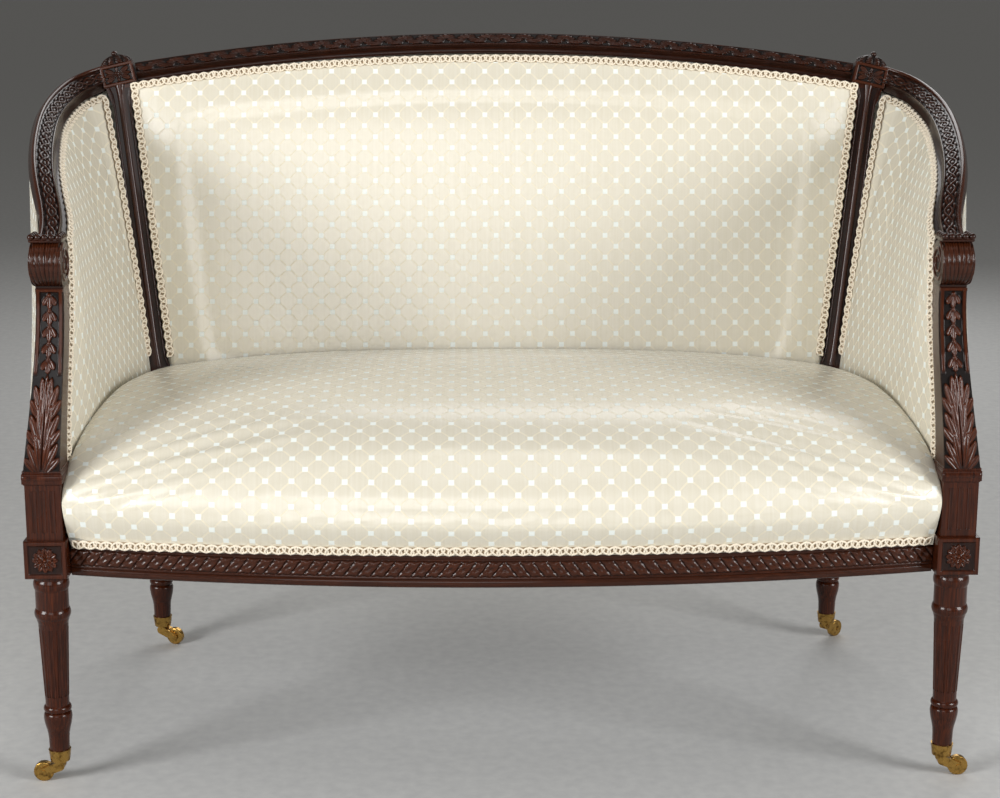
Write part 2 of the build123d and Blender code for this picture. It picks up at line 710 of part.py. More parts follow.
def seat_outline(z, overhang, side_inset, back_inset):
    """Closed outline of the seat at a height: bowed front, bowed sides and a straight back."""
    corner = (block_inner_x - seat_side_gap - side_inset, rail_end_y - overhang)
    front = (0, rail_face_y - overhang)
    side = (seat_middle.X - 2 * seat_side_gap - side_inset, seat_middle.Y)
    back_y = stile_front_y(z) - back_crown - seat_side_gap - back_inset
    back = (wing_rear.X - 3 * seat_side_gap - side_inset, back_y)
    with BuildSketch(Plane.XY.offset(z)) as outline:
        with BuildLine():
            ThreePointArc((-corner[0], corner[1]), front, corner)
            ThreePointArc(corner, side, back)
            Line(back, (-back[0], back[1]))
            ThreePointArc((-back[0], back[1]), (-side[0], side[1]), (-corner[0], corner[1]))
        make_face()
    return outline.sketch


spring_top = rail_bottom + spring_height
stuffing_foot = spring_top + sheet_thickness
stuffing_top = stuffing_foot + stuffing_height
well_front_y = behind(seat_edge_width - rail_reach / 2)
well_back_y = stile_front_y(rail_top) - back_crown - seat_edge_width / 2
well_half_width = seat_middle.X - seat_edge_width
well_middle_y = (well_front_y + well_back_y) / 2
well_length = well_back_y - well_front_y
# The cover's front lip hangs over the front rail, down to the gimp
with BuildPart() as seat_lip:
    with BuildSketch(Plane.YZ) as lip_section:
        with BuildLine():
            lip_back_y = rail_face_y + cover_rebate
            lip_top = rail_top + seat_lip_thickness / 2
            ThreePointArc((rail_face_y, seat_lip_bottom),
                          (rail_face_y - seat_lip_thickness * 0.7, (seat_lip_bottom + rail_top) / 2),
                          (rail_face_y - seat_lip_thickness, rail_top))
            Polyline((rail_face_y - seat_lip_thickness, rail_top), (rail_face_y, lip_top),
                     (lip_back_y, lip_top), (lip_back_y, seat_lip_bottom), (rail_face_y, seat_lip_bottom))
        make_face()
    revolve(lip_section.sketch, axis=bow_axis, revolution_arc=bow_half_angle)
    mirror(about=Plane.YZ)
    with Locations((0, front_y, rail_mid_z)):
        Box(2 * (block_inner_x - 2 * seat_side_gap), 2 * crest_reach, 2 * rail_height, mode=Mode.INTERSECT)

with BuildPart() as seat_cover:
    loft([seat_outline(rail_top + seat_rise * share, *reach) for share, *reach in seat_levels])
    add(seat_lip.part)
    with Locations((0, well_middle_y, (rail_top + stuffing_top) / 2)):
        Box(2 * well_half_width, well_length, stuffing_top - rail_top, mode=Mode.SUBTRACT)
save(seat_cover, "seat_cover")

# Seat stuffing and the hessian under it, in the well of the cover
with BuildPart() as seat_stuffing:
    with Locations((0, well_middle_y, (stuffing_foot + stuffing_top) / 2)):
        Box(2 * (well_half_width - soft_gap), well_length - 2 * soft_gap, stuffing_height)
save(seat_stuffing, "seat_stuffing")
with BuildPart() as seat_hessian:
    with Locations((0, well_middle_y, spring_top + sheet_thickness / 2)):
        Box(2 * (well_half_width - soft_gap), well_length - 2 * soft_gap, sheet_thickness)
save(seat_hessian, "seat_hessian")

# Seat springs: plain waisted sleeves of the springs' outer size
end_radius = spring_diameter / 2
waist_radius = spring_waist / 2
with BuildPart() as spring:
    with BuildSketch(Plane.XZ) as spring_section:
        with BuildLine():
            ThreePointArc((end_radius, 0), (waist_radius, spring_height / 2), (end_radius, spring_height))
            Line((end_radius, spring_height), (end_radius - spring_wall, spring_height))
            ThreePointArc((end_radius - spring_wall, spring_height),
                          (waist_radius - spring_wall, spring_height / 2), (end_radius - spring_wall, 0))
            Line((end_radius - spring_wall, 0), (end_radius, 0))
        make_face()
    revolve(spring_section.sketch, axis=Axis.Z)

with BuildPart() as seat_springs:
    with Locations((0, well_middle_y, rail_bottom)):
        with GridLocations(spring_pitch_x, spring_pitch_y, springs_per_row, spring_rows):
            add(spring.part)
save(seat_springs, "seat_springs")

# Outline under the seat frame, along the middles of the rails and clear of the legs
side_arc_x = side_middle_x - side_rail_thickness / 2


def under_outline(z, margin):
    """Closed outline under the seat frame at a height, drawn in by a margin."""
    front_half = block_inner_x - seat_side_gap - margin
    rear_half = rear_block_inner_x - seat_side_gap - margin
    front_end_y = front_rail_mid_y + margin
    front_bow_y = rail_face_y + front_rail_thickness / 2 + margin
    side_start_y = side_front_y + seat_side_gap + margin
    side_end_y = side_rear_y - seat_side_gap - margin
    back_y = rear_y - margin
    with BuildSketch(Plane.XY.offset(z)) as outline:
        with BuildLine():
            ThreePointArc((-front_half, front_end_y), (0, front_bow_y), (front_half, front_end_y))
            for side in (1, -1):
                Polyline((side * front_half, front_end_y), (side * front_half, side_start_y),
                         (side * (side_front_x - margin), side_start_y))
                ThreePointArc((side * (side_front_x - margin), side_start_y),
                              (side * (side_arc_x - margin), side_middle_y),
                              (side * (side_rear_x - margin), side_end_y))
                Polyline((side * (side_rear_x - margin), side_end_y), (side * rear_half, side_end_y),
                         (side * rear_half, back_y))
            Line((rear_half, back_y), (-rear_half, back_y))
        make_face()
    return outline.sketch


# Seat webbing under the rails: straps from front to back, then straps from side to side
strap_reach = front_leg_spacing + block_width
with BuildPart() as seat_webbing:
    with Locations((0, well_middle_y, rail_bottom - sheet_thickness / 2)):
        with GridLocations(spring_pitch_x, 0, springs_per_row, 1):
            Box(webbing_width, strap_reach, sheet_thickness)
    with Locations((0, well_middle_y, rail_bottom - 1.5 * sheet_thickness - strap_gap)):
        with GridLocations(0, spring_pitch_y, 1, spring_rows):
            Box(strap_reach, webbing_width, sheet_thickness)
    extrude(under_outline(rail_bottom, strap_margin), amount=-rail_height, mode=Mode.INTERSECT)
save(seat_webbing, "seat_webbing")

# Dust cover below the webbing
dust_z = rail_bottom - 2 * sheet_thickness - 2 * strap_gap
with BuildPart() as dust_cover:
    extrude(under_outline(dust_z, 0), amount=-sheet_thickness)
save(dust_cover, "dust_cover")

# Gimp along the lower edge of the seat's front
with BuildPart() as seat_gimp:
    with BuildSketch(Plane.YZ) as seat_gimp_section:
        gimp_middle_z = fillet_top + gimp_width / 2
        with Locations((rail_face_y - gimp_thickness / 2 - seat_lip_thickness * 0.45, gimp_middle_z)):
            Rectangle(gimp_thickness, gimp_width)
    revolve(seat_gimp_section.sketch, axis=bow_axis, revolution_arc=bow_half_angle)
    mirror(about=Plane.YZ)
    with Locations((0, front_y, rail_mid_z)):
        Box(2 * (block_inner_x - seat_side_gap), 2 * crest_reach, 2 * rail_height, mode=Mode.INTERSECT)
    add(seat_cover.part, mode=Mode.SUBTRACT)
save(seat_gimp, "seat_gimp")

# Back: a plane on the stiles' front faces, with x across, y up the rake and z towards the sitter
back_plane = Plane(origin=(0, stile_front_y(stile_foot_z), stile_foot_z), x_dir=(1, 0, 0), z_dir=back_normal)
back_foot = (rail_top + rear_block_margin + soft_gap - stile_foot_z) / cos(rake)
back_head = (crest_top - stile_foot_z) / cos(rake)
pad_back = -(pad_thickness - tablet_proud)


def stile_inner(height):
    """Distance from the centre line to a stile's inner face, at a height up the rake."""
    return stile_x(stile_foot_z + height * cos(rake)) - stile_width / 2 - back_pad_gap


def crest_under(x, margin):
    """Height up the rake of the crest's lower edge at a distance from the centre line."""
    inner_radius = crest_radius - crest_height - back_pad_gap - margin
    return back_head - crest_radius + (inner_radius ** 2 - x ** 2) ** 0.5


def back_outline(depth, margin):
    """Outline of the inside back between the stiles and under the crest, drawn in by a margin."""
    foot = back_foot + margin
    foot_x = stile_inner(foot) - margin
    head_x = stile_inner(crest_under(stile_head_x, margin)) - margin
    head = crest_under(head_x, margin)
    with BuildSketch(back_plane.offset(depth)) as outline:
        with BuildLine():
            Polyline((-head_x, head), (-foot_x, foot), (foot_x, foot), (head_x, head))
            ThreePointArc((head_x, head), (0, crest_under(0, margin)), (-head_x, head))
        make_face()
    return outline.sketch


back_levels = [
    (pad_back, 0),
    (tablet_proud, 0),
    (back_crown * 0.5, 12),
    (back_crown * 0.85, 45),
    (back_crown, 110),
]
with BuildPart() as back_pad:
    loft([back_outline(depth, margin) for depth, margin in back_levels], ruled=True)
    add(back_post_right.part, mode=Mode.SUBTRACT)
    add(back_post_left.part, mode=Mode.SUBTRACT)
save(back_pad, "back_pad")

# Gimp round the inside back: down both stiles and under the crest
with BuildPart() as back_gimp:
    extrude(back_outline(tablet_proud, back_pad_gap), amount=gimp_thickness + back_crown * 0.5)
    with BuildSketch(back_plane.offset(tablet_proud)) as gimp_window:
        window_foot = back_foot - gimp_width
        window_head_x = stile_inner(crest_under(stile_head_x, gimp_width)) - gimp_width
        window_foot_x = stile_inner(window_foot) - gimp_width
        window_head = crest_under(window_head_x, gimp_width)
        with BuildLine():
            Polyline((-window_head_x, window_head), (-window_foot_x, window_foot), (window_foot_x, window_foot),
                     (window_head_x, window_head))
            ThreePointArc((window_head_x, window_head), (0, crest_under(0, gimp_width)),
                          (-window_head_x, window_head))
        make_face()
    extrude(gimp_window.sketch, amount=2 * back_crown, mode=Mode.SUBTRACT)
    add(back_pad.part, mode=Mode.SUBTRACT)
    add(back_post_right.part, mode=Mode.SUBTRACT)
    add(back_post_left.part, mode=Mode.SUBTRACT)
    with Locations((0, stile_front_y(seat_line_z), seat_line_z / 2)):
        Box(2 * front_leg_spacing, crest_reach, seat_line_z, mode=Mode.SUBTRACT)
save(back_gimp, "back_gimp")

# Hessian and webbing behind the inside back
hessian_back = pad_back - soft_gap
with BuildPart() as back_hessian:
    extrude(back_outline(hessian_back - sheet_thickness, 0), amount=sheet_thickness)
    add(back_post_right.part, mode=Mode.SUBTRACT)
    add(back_post_left.part, mode=Mode.SUBTRACT)
save(back_hessian, "back_hessian")
back_strap_count = 5
back_cross_count = 3
upright_front = hessian_back - sheet_thickness - strap_gap
cross_front = upright_front - sheet_thickness - strap_gap
with BuildPart() as back_webbing:
    for index in range(back_strap_count):
        strap_x = (index - (back_strap_count - 1) / 2) * spring_pitch_x
        strap_head = crest_under(abs(strap_x) + webbing_width / 2, 0)
        with BuildSketch(back_plane.offset(upright_front)) as upright:
            with Locations((strap_x, (back_foot + strap_head) / 2)):
                Rectangle(webbing_width, strap_head - back_foot)
        extrude(upright.sketch, amount=-sheet_thickness)
    for index in range(back_cross_count):
        height = back_foot + (back_head - back_foot) * (index + 1) / (back_cross_count + 1)
        with BuildSketch(back_plane.offset(cross_front)) as cross:
            with Locations((0, height)):
                Rectangle(2 * stile_inner(height - webbing_width / 2), webbing_width)
        extrude(cross.sketch, amount=-sheet_thickness)
save(back_webbing, "back_webbing")

# Stuffing rail at the foot of the back, standing on the back rail
stuffing_rail_z = rail_top + stuffing_rail_height / 2
webbing_back = cross_front - sheet_thickness - soft_gap
stuffing_rail_front = stile_front_y(rail_top + stuffing_rail_height) - webbing_back / cos(rake)
with BuildPart() as back_stuffing_rail:
    with Locations((0, stuffing_rail_front + stuffing_rail_thickness / 2, stuffing_rail_z)):
        Box(2 * (rear_block_inner_x - joint_fit), stuffing_rail_thickness, stuffing_rail_height)
save(back_stuffing_rail, "back_stuffing_rail")

# Outside back cover: down the backs of the posts and over the back rail
post_back = stile_depth / cos(rake) + soft_gap
cover_head_z = crest_top - crest_height
block_back_y = rear_y + rear_block_size / 2 + soft_gap
cover_bend = [(block_back_y, cover_foot_z), (block_back_y, rear_block_top),
              (stile_front_y(stile_foot_z) + post_back, stile_foot_z),
              (stile_front_y(cover_head_z) + post_back, cover_head_z)]
with BuildPart() as outside_back_cover:
    with BuildSketch(Plane.YZ) as cover_section:
        with BuildLine():
            outer_bend = [(y + cover_thickness, z) for y, z in reversed(cover_bend)]
            Polyline(*cover_bend, *outer_bend, close=True)
        make_face()
    extrude(cover_section.sketch, amount=stile_head_x, both=True)
    with BuildSketch(Plane.XZ.offset(-crest_reach)) as cover_outline:
        with BuildLine():
            cover_foot_x = rear_x + rear_block_size / 2
            cover_head_x = stile_x(tablet_foot_z)
            Polyline((-cover_head_x, tablet_foot_z), (-stile_foot_x, stile_foot_z), (-cover_foot_x, cover_foot_z),
                     (cover_foot_x, cover_foot_z), (stile_foot_x, stile_foot_z), (cover_head_x, tablet_foot_z))
            ThreePointArc((cover_head_x, tablet_foot_z), (0, cover_head_z), (-cover_head_x, tablet_foot_z))
        make_face()
    extrude(cover_outline.sketch, amount=2 * crest_reach, mode=Mode.INTERSECT)
    add(back_post_right.part, mode=Mode.SUBTRACT)
    add(back_post_left.part, mode=Mode.SUBTRACT)
save(outside_back_cover, "outside_back_cover")

# Corner blocks glued inside the seat frame, trimmed to the rails and legs that they meet
front_corner_x = side_front_x - side_rail_thickness / 2
front_corner_y = front_rail_mid_y + front_rail_thickness / 2
rear_corner_x = side_rear_x - side_rail_thickness / 2
rear_corner_y = rear_y - back_rail_thickness / 2
with BuildPart() as rough_blocks:
    for corner_x, corner_y, way in ((front_corner_x, front_corner_y, 1), (rear_corner_x, rear_corner_y, -1)):
        outer_x = corner_x + corner_block_reach
        outer_y = corner_y - way * corner_block_reach
        with BuildSketch(Plane.XY.offset(rail_mid_z - corner_block_height / 2)) as triangle:
            with BuildLine():
                Polyline((outer_x, outer_y), (corner_x - corner_block_size, outer_y),
                         (outer_x, corner_y + way * corner_block_size), close=True)
            make_face()
        extrude(triangle.sketch, amount=corner_block_height)
    for piece in (front_rail, side_rail_right, back_rail, front_leg_right, back_post_right):
        add(piece.part, mode=Mode.SUBTRACT)
with BuildPart() as corner_blocks:
    add(rough_blocks.solids().sort_by(SortBy.VOLUME)[-2:])
    mirror(about=Plane.YZ)
save(corner_blocks, "corner_blocks")

# Casters: leg, place of the leg axis and the way the wheel trails
casters = [
    ("front_left", -front_x, front_y, 180),
    ("front_right", front_x, front_y, 0),
    ("rear_left", -rear_x, rear_y, -20),
    ("rear_right", rear_x, rear_y, 40),
]
axle_length = horn_width + 2 * axle_head_height
pivot_head_z = leg_foot + pivot_head_gap
boss_top = cup_bottom - horn_cup_gap
for leg, leg_x, leg_y, trail_turn in casters:
    trail_way = Vector(cos(radians(trail_turn)), sin(radians(trail_turn)), 0)
    axle_way = Vector(0, 0, 1).cross(trail_way)
    pivot = Vector(leg_x, leg_y, 0)
    axle_middle = pivot + trail_way * caster_trail + Vector(0, 0, wheel_radius)
    axle_plane = Plane(origin=axle_middle, z_dir=axle_way)
    side_plane = Plane(origin=pivot, x_dir=trail_way, z_dir=-axle_way)

    # Brass cup round the foot of the leg
    with BuildPart() as cup:
        with BuildSketch(Plane(origin=pivot, x_dir=(1, 0, 0), z_dir=(0, -1, 0))) as cup_section:
            hole_radius = pivot_diameter / 2 + running_fit
            with BuildLine():
                Polyline((hole_radius, cup_bottom), (cup_foot_diameter / 2, cup_bottom),
                         (cup_top_diameter / 2, cup_top), (cup_top_diameter / 2 - cup_wall, cup_top),
                         (cup_foot_diameter / 2 - cup_wall, leg_foot), (hole_radius, leg_foot), close=True)
            make_face()
        revolve(cup_section.sketch, axis=Axis(pivot, (0, 0, 1)))
    save(cup, f"{leg}_caster_cup")

    # Horn: pivot riveted through the cup, boss, and two cheeks that carry the axle
    with BuildPart() as horn:
        with BuildSketch(side_plane) as cheek:
            with Locations((caster_trail, wheel_radius)):
                Circle(axle_eye_radius)
            with Locations((0, boss_top - horn_boss_height)):
                Circle(horn_arm_radius)
            make_hull()
        extrude(cheek.sketch, amount=horn_width / 2, both=True)
        with BuildSketch(Plane(origin=pivot).offset(boss_top - horn_boss_height)) as boss:
            Circle(horn_boss_radius)
        extrude(boss.sketch, amount=horn_boss_height)
        with BuildSketch(Plane(origin=pivot).offset(boss_top)) as pivot_pin:
            Circle(pivot_diameter / 2)
        extrude(pivot_pin.sketch, amount=pivot_head_z - boss_top)
        with BuildSketch(Plane(origin=pivot).offset(pivot_head_z)) as pivot_head:
            Circle(pivot_head_diameter / 2)
        extrude(pivot_head.sketch, amount=pivot_head_height)
        with Locations(axle_plane.location):
            Cylinder(wheel_radius + wheel_rim_gap, wheel_width + 2 * wheel_side_gap, mode=Mode.SUBTRACT)
            Cylinder(axle_diameter / 2 + joint_fit, 2 * axle_length, mode=Mode.SUBTRACT)
    save(horn, f"{leg}_caster_horn")

    # Axle riveted over at both ends
    with BuildPart() as axle:
        with Locations(axle_plane.location):
            Cylinder(axle_diameter / 2, axle_length)
        for end in (-1, 1):
            head_middle = end * (horn_width + axle_head_height) / 2
            with Locations(axle_plane.offset(head_middle).location):
                Cylinder(axle_head_diameter / 2, axle_head_height)
    save(axle, f"{leg}_caster_axle")

    # Wheel turning on the axle
    with BuildPart() as wheel:
        with Locations(axle_plane.location):
            Cylinder(wheel_radius, wheel_width)
        fillet(wheel.edges().filter_by(GeomType.CIRCLE), radius=wheel_edge_radius)
        with Locations(axle_plane.location):
            Cylinder(axle_diameter / 2 + running_fit, 2 * wheel_width, mode=Mode.SUBTRACT)
    save(wheel, f"{leg}_caster_wheel")
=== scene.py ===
"""Dress the settee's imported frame: carved mahogany, trellis silk, scroll gimp and brass casters.

Sizes are in millimetres, as in the part's source, and become metres when a mesh is laid out.
"""

import logging
import math
from collections.abc import Callable, Sequence
from dataclasses import dataclass, field
from enum import Enum

import bpy
import numpy as np
from mathutils import Matrix, Vector


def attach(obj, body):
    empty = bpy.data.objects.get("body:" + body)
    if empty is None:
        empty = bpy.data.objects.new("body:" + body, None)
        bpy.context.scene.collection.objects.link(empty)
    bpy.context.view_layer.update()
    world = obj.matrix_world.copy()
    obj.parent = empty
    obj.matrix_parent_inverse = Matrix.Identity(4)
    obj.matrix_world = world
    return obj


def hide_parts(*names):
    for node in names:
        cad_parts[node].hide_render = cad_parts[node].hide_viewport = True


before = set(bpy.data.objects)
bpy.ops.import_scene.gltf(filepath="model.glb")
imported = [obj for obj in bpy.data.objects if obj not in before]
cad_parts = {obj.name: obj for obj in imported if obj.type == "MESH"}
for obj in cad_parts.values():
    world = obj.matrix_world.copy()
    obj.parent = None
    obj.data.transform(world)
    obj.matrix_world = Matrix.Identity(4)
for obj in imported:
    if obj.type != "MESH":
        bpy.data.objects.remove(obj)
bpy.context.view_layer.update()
LOG = logging.getLogger("settee")
MM = 0.001
BODY = "settee"
# Merge distance of a seam, in millimetres
SEAM = 0.01
# Share of a grid within which a point lies on its rim
RIM = 1e-4
SETTLE_FRAMES = 20
Array = np.ndarray
Piece = bpy.types.Object
Surface = Callable[[Array, Array], Array]
Triple = tuple[Array, Array, Array]
Carving = Callable[[Array, Array], Triple]


class Grain(Enum):
    """The way the wood's grain runs in a piece."""

    ALONG = (3.0, 60.0, 60.0)
    UPRIGHT = (60.0, 60.0, 3.0)
    BACK = (60.0, 3.0, 60.0)


@dataclass(frozen=True)
class Stance:
    """Places of the frame that several pieces share."""

    front_x: float = 550.0
    front_y: float = -268.619
    rear_y: float = 231.381
    stile_foot_x: float = 490.0
    stile_head_x: float = 541.0
    stile_foot_z: float = 424.0
    stile_head_z: float = 820.0
    stile_setback: float = 490.0
    rake_run: float = 70.0
    crest_top: float = 898.0
    crest_radius: float = 3180.0
    crest_height: float = 29.0
    rail_face_y: float = -331.619
    rail_bow: float = 57.0
    rail_bottom: float = 270.0
    rail_top: float = 330.0
    block_inner_x: float = 524.5
    rear_block_half: float = 23.0
    tablet_z: float = 838.0
    hand_x: float = 541.0
    post_depth: float = 36.0
    # Heights up a back post, and the distance of its outer side from the centre line at each
    post_sides: tuple = ((334.0, 424.0, 792.5, 824.5), (522.0, 503.0, 550.5, 563.0))
    # Front, middle and rear of the side rail's bowed outer face
    side_arc: tuple = ((573.5, -242.619), (578.75, -17.119), (520.0, 208.381))

    @property
    def rake(self) -> float:
        """Angle of the back from upright, in radians."""
        return math.atan2(self.rake_run, self.stile_head_z - self.stile_foot_z)

    @property
    def back_normal(self) -> Array:
        """Unit vector out of the back, towards the sitter."""
        return np.array([0.0, -math.cos(self.rake), math.sin(self.rake)])

    @property
    def back_up(self) -> Array:
        """Unit vector up the rake of the back."""
        return np.array([0.0, math.sin(self.rake), math.cos(self.rake)])

    def behind(self, distance: float) -> float:
        """Y of a point this far behind the front leg axes."""
        return self.front_y + distance

    def stile_y(self, z: Array) -> Array:
        """Y of the raked front plane of the back at a height."""
        return self.behind(self.stile_setback) + (z - self.stile_foot_z) * math.tan(self.rake)

    def stile_x(self, z: Array) -> Array:
        """Distance of a stile's middle from the centre line at a height."""
        lean = (self.stile_head_x - self.stile_foot_x) / (self.stile_head_z - self.stile_foot_z)
        return self.stile_foot_x + (z - self.stile_foot_z) * lean

    def crest_under(self, x: Array, margin: float = 0.0) -> Array:
        """Height up the rake, from the stile's foot, of the crest's lower edge.

        Args:
            x: Distance from the centre line.
            margin: Distance below the edge.

        Returns:
            Heights in millimetres.
        """
        head = (self.crest_top - self.stile_foot_z) / math.cos(self.rake)
        inner = self.crest_radius - self.crest_height - margin
        return head - self.crest_radius + np.sqrt(inner**2 - x**2)

    def bow_y(self, x: Array) -> Array:
        """Y of the front rail's bowed face at a distance from the centre line."""
        radius = (self.block_inner_x**2 + self.rail_bow**2) / (2 * self.rail_bow)
        return self.rail_face_y + radius - np.sqrt(radius**2 - x**2)

    def side_x(self, y: Array) -> Array:
        """Distance of the side rail's bowed outer face from the centre line.

        Args:
            y: Places from front to back.

        Returns:
            Distances in millimetres.
        """
        points = np.array(self.side_arc)
        steps = points[1:] - points[0]
        middle = np.linalg.solve(2 * steps, np.sum(points[1:] ** 2 - points[0] ** 2, axis=1))
        radius = np.linalg.norm(points[0] - middle)
        return middle[0] + np.sqrt(np.maximum(radius**2 - (y - middle[1]) ** 2, 0))

    def post_side(self, z: Array) -> Array:
        """Distance of a back post's outer side from the centre line at a height."""
        return np.interp(z, *self.post_sides)

    def post_back(self, z: Array) -> Array:
        """Y of a back post's rear face at a height.

        Args:
            z: Heights.

        Returns:
            Places in millimetres.
        """
        low, bend, _, high = self.post_sides[0]
        rear = self.rear_y + self.rear_block_half
        return np.interp(z, [low, bend, high], [rear, *(self.stile_y(at) + self.post_depth for at in (bend, high))])


STANCE = Stance()


# Colour and node helpers


def linear(hex_colour: str) -> tuple[float, float, float, float]:
    """Turn an sRGB hex colour into the linear values that shaders take.

    Args:
        hex_colour: Six hex digits, with or without a leading hash.

    Returns:
        Linear red, green and blue, with an alpha of one.
    """
    digits = hex_colour.lstrip("#")
    values = [int(digits[i:i + 2], 16) / 255 for i in (0, 2, 4)]
    parts = [v / 12.92 if v <= 0.04045 else ((v + 0.055) / 1.055) ** 2.4 for v in values]
    return parts[0], parts[1], parts[2], 1.0


def fill(node: bpy.types.Node, inputs: dict) -> None:
    """Set a node's inputs to values, or link them to the sockets that feed them.

    Args:
        node: The node.
        inputs: Input name or index to a value or a socket.
    """
    for key, value in inputs.items():
        if isinstance(value, bpy.types.NodeSocket):
            node.id_data.links.new(value, node.inputs[key])
        else:
            node.inputs[key].default_value = value


def add_node(tree: bpy.types.NodeTree, kind: str, inputs: dict | None = None, out: str | int = 0,
             stops: Sequence[tuple[float, str]] = (), **settings: object) -> bpy.types.NodeSocket:
    """Add a shader node with its settings and links.

    Args:
        tree: The material's node tree.
        kind: Node type name after ShaderNode.
        inputs: Input name or index to a value, or to the socket that feeds it.
        out: Name or index of the output that is wanted.
        stops: Positions and hex colours, where the node is a colour ramp.
        **settings: Properties set on the node itself.

    Returns:
        The wanted output.
    """
    node = tree.nodes.new(f"ShaderNode{kind}")
    for name, value in settings.items():
        setattr(node, name, value)
    for _ in stops[2:]:
        node.color_ramp.elements.new(0.5)
    for index, (position, colour) in enumerate(stops):
        element = node.color_ramp.elements[index]
        element.position, element.color = position, linear(colour)
    fill(node, inputs or {})
    return node.outputs[out]


def new_material(name: str) -> tuple[bpy.types.Material, bpy.types.NodeTree, bpy.types.Node]:
    """Make an empty node material.

    Args:
        name: Name of the real material.

    Returns:
        The material, its node tree and its surface shader.
    """
    material = bpy.data.materials.new(name)
    material.use_nodes = True
    tree = material.node_tree
    return material, tree, tree.nodes["Principled BSDF"]


@dataclass(frozen=True)
class Mahogany:
    """French-polished mahogany: dark red-brown and fine straight grain, darkened in the carving by waxed finish and
    painted shade, and lightened on raised parts by worn polish and a painted highlight.
    """

    name: str
    grain: Grain
    shades: tuple[str, str, str] = ("#190a05", "#2f1409", "#452010")
    # Near-black laid in the hollows: waxed finish with painted shade
    wax_and_shade_dark: str = "#0c0402"
    # Lighter red laid on raised parts: worn polish with a painted highlight
    wear_and_highlight: str = "#6a351b"

    def build(self) -> bpy.types.Material:
        """Make the polished wood, darker in the hollows, partly waxed finish and partly painted shade, and lighter
        and redder on raised parts, partly worn polish and partly a painted highlight.

        Returns:
            The finish.
        """
        material, tree, shader = new_material(self.name)
        place = add_node(tree, "TexCoord", out="Object")
        # Grain streaks about 1.5 mm across and 40 mm long
        grain = add_node(tree, "Mapping", {"Vector": place, "Scale": self.grain.value})
        streaks = add_node(tree, "TexNoise", {"Vector": grain, "Scale": 9.0, "Detail": 6.0, "Roughness": 0.62})
        pores = add_node(tree, "TexNoise", {"Vector": grain, "Scale": 26.0, "Detail": 2.0})
        clouds = add_node(tree, "TexNoise", {"Vector": place, "Scale": 7.0, "Detail": 2.0})
        # Stored shares: darkening of the hollows is painted shade with waxed finish, and lightening of raised parts
        # is a painted highlight with worn polish
        wax_and_shade = add_node(tree, "Attribute", out="Fac", attribute_name="wax_and_shade")
        crest = add_node(tree, "Attribute", out="Fac", attribute_name="wear_and_highlight")
        wood = add_node(tree, "ValToRGB", {"Fac": streaks}, stops=tuple(zip((0.32, 0.52, 0.74), self.shades)))
        layers = ((clouds, 0.55, self.shades[0]), (crest, 0.6, self.wear_and_highlight), (wax_and_shade, 1.0, self.wax_and_shade_dark))
        for factor, share, colour in layers:
            amount = add_node(tree, "Math", {0: factor, 1: share}, operation="MULTIPLY")
            wood = add_node(tree, "Mix", {0: amount, 6: wood, 7: linear(colour)}, 2, data_type="RGBA")
        # The darkened hollows are rougher, and the polish is a little uneven
        dull = add_node(tree, "Math", {0: wax_and_shade, 1: 0.3, 2: 0.2}, operation="MULTIPLY_ADD")
        uneven = add_node(tree, "Math", {0: clouds, 1: 0.14, 2: dull}, operation="MULTIPLY_ADD")
        bump = add_node(tree, "Bump", {"Height": pores, "Strength": 0.06, "Distance": 0.0006})
        fill(shader, {"Base Color": wood, "Roughness": uneven, "Normal": bump, "IOR": 1.5,
                      "Specular IOR Level": 0.15, "Coat Weight": 0.3, "Coat Roughness": 0.09})
        return material


@dataclass(frozen=True)
class PlainWood:
    """Bare beech of the hidden frame: pale, with short flecks."""

    name: str = "bare_beech"
    shades: tuple[str, str] = ("#9a7448", "#c29c6c")

    def build(self) -> bpy.types.Material:
        """Make the matt wood.

        Returns:
            The finish.
        """
        material, tree, shader = new_material(self.name)
        place = add_node(tree, "TexCoord", out="Object")
        grain = add_node(tree, "Mapping", {"Vector": place, "Scale": Grain.ALONG.value})
        flecks = add_node(tree, "TexNoise", {"Vector": grain, "Scale": 8.0, "Detail": 4.0})
        wood = add_node(tree, "ValToRGB", {"Fac": flecks}, stops=tuple(zip((0.35, 0.7), self.shades)))
        fill(shader, {"Base Color": wood, "Roughness": 0.62})
        return material


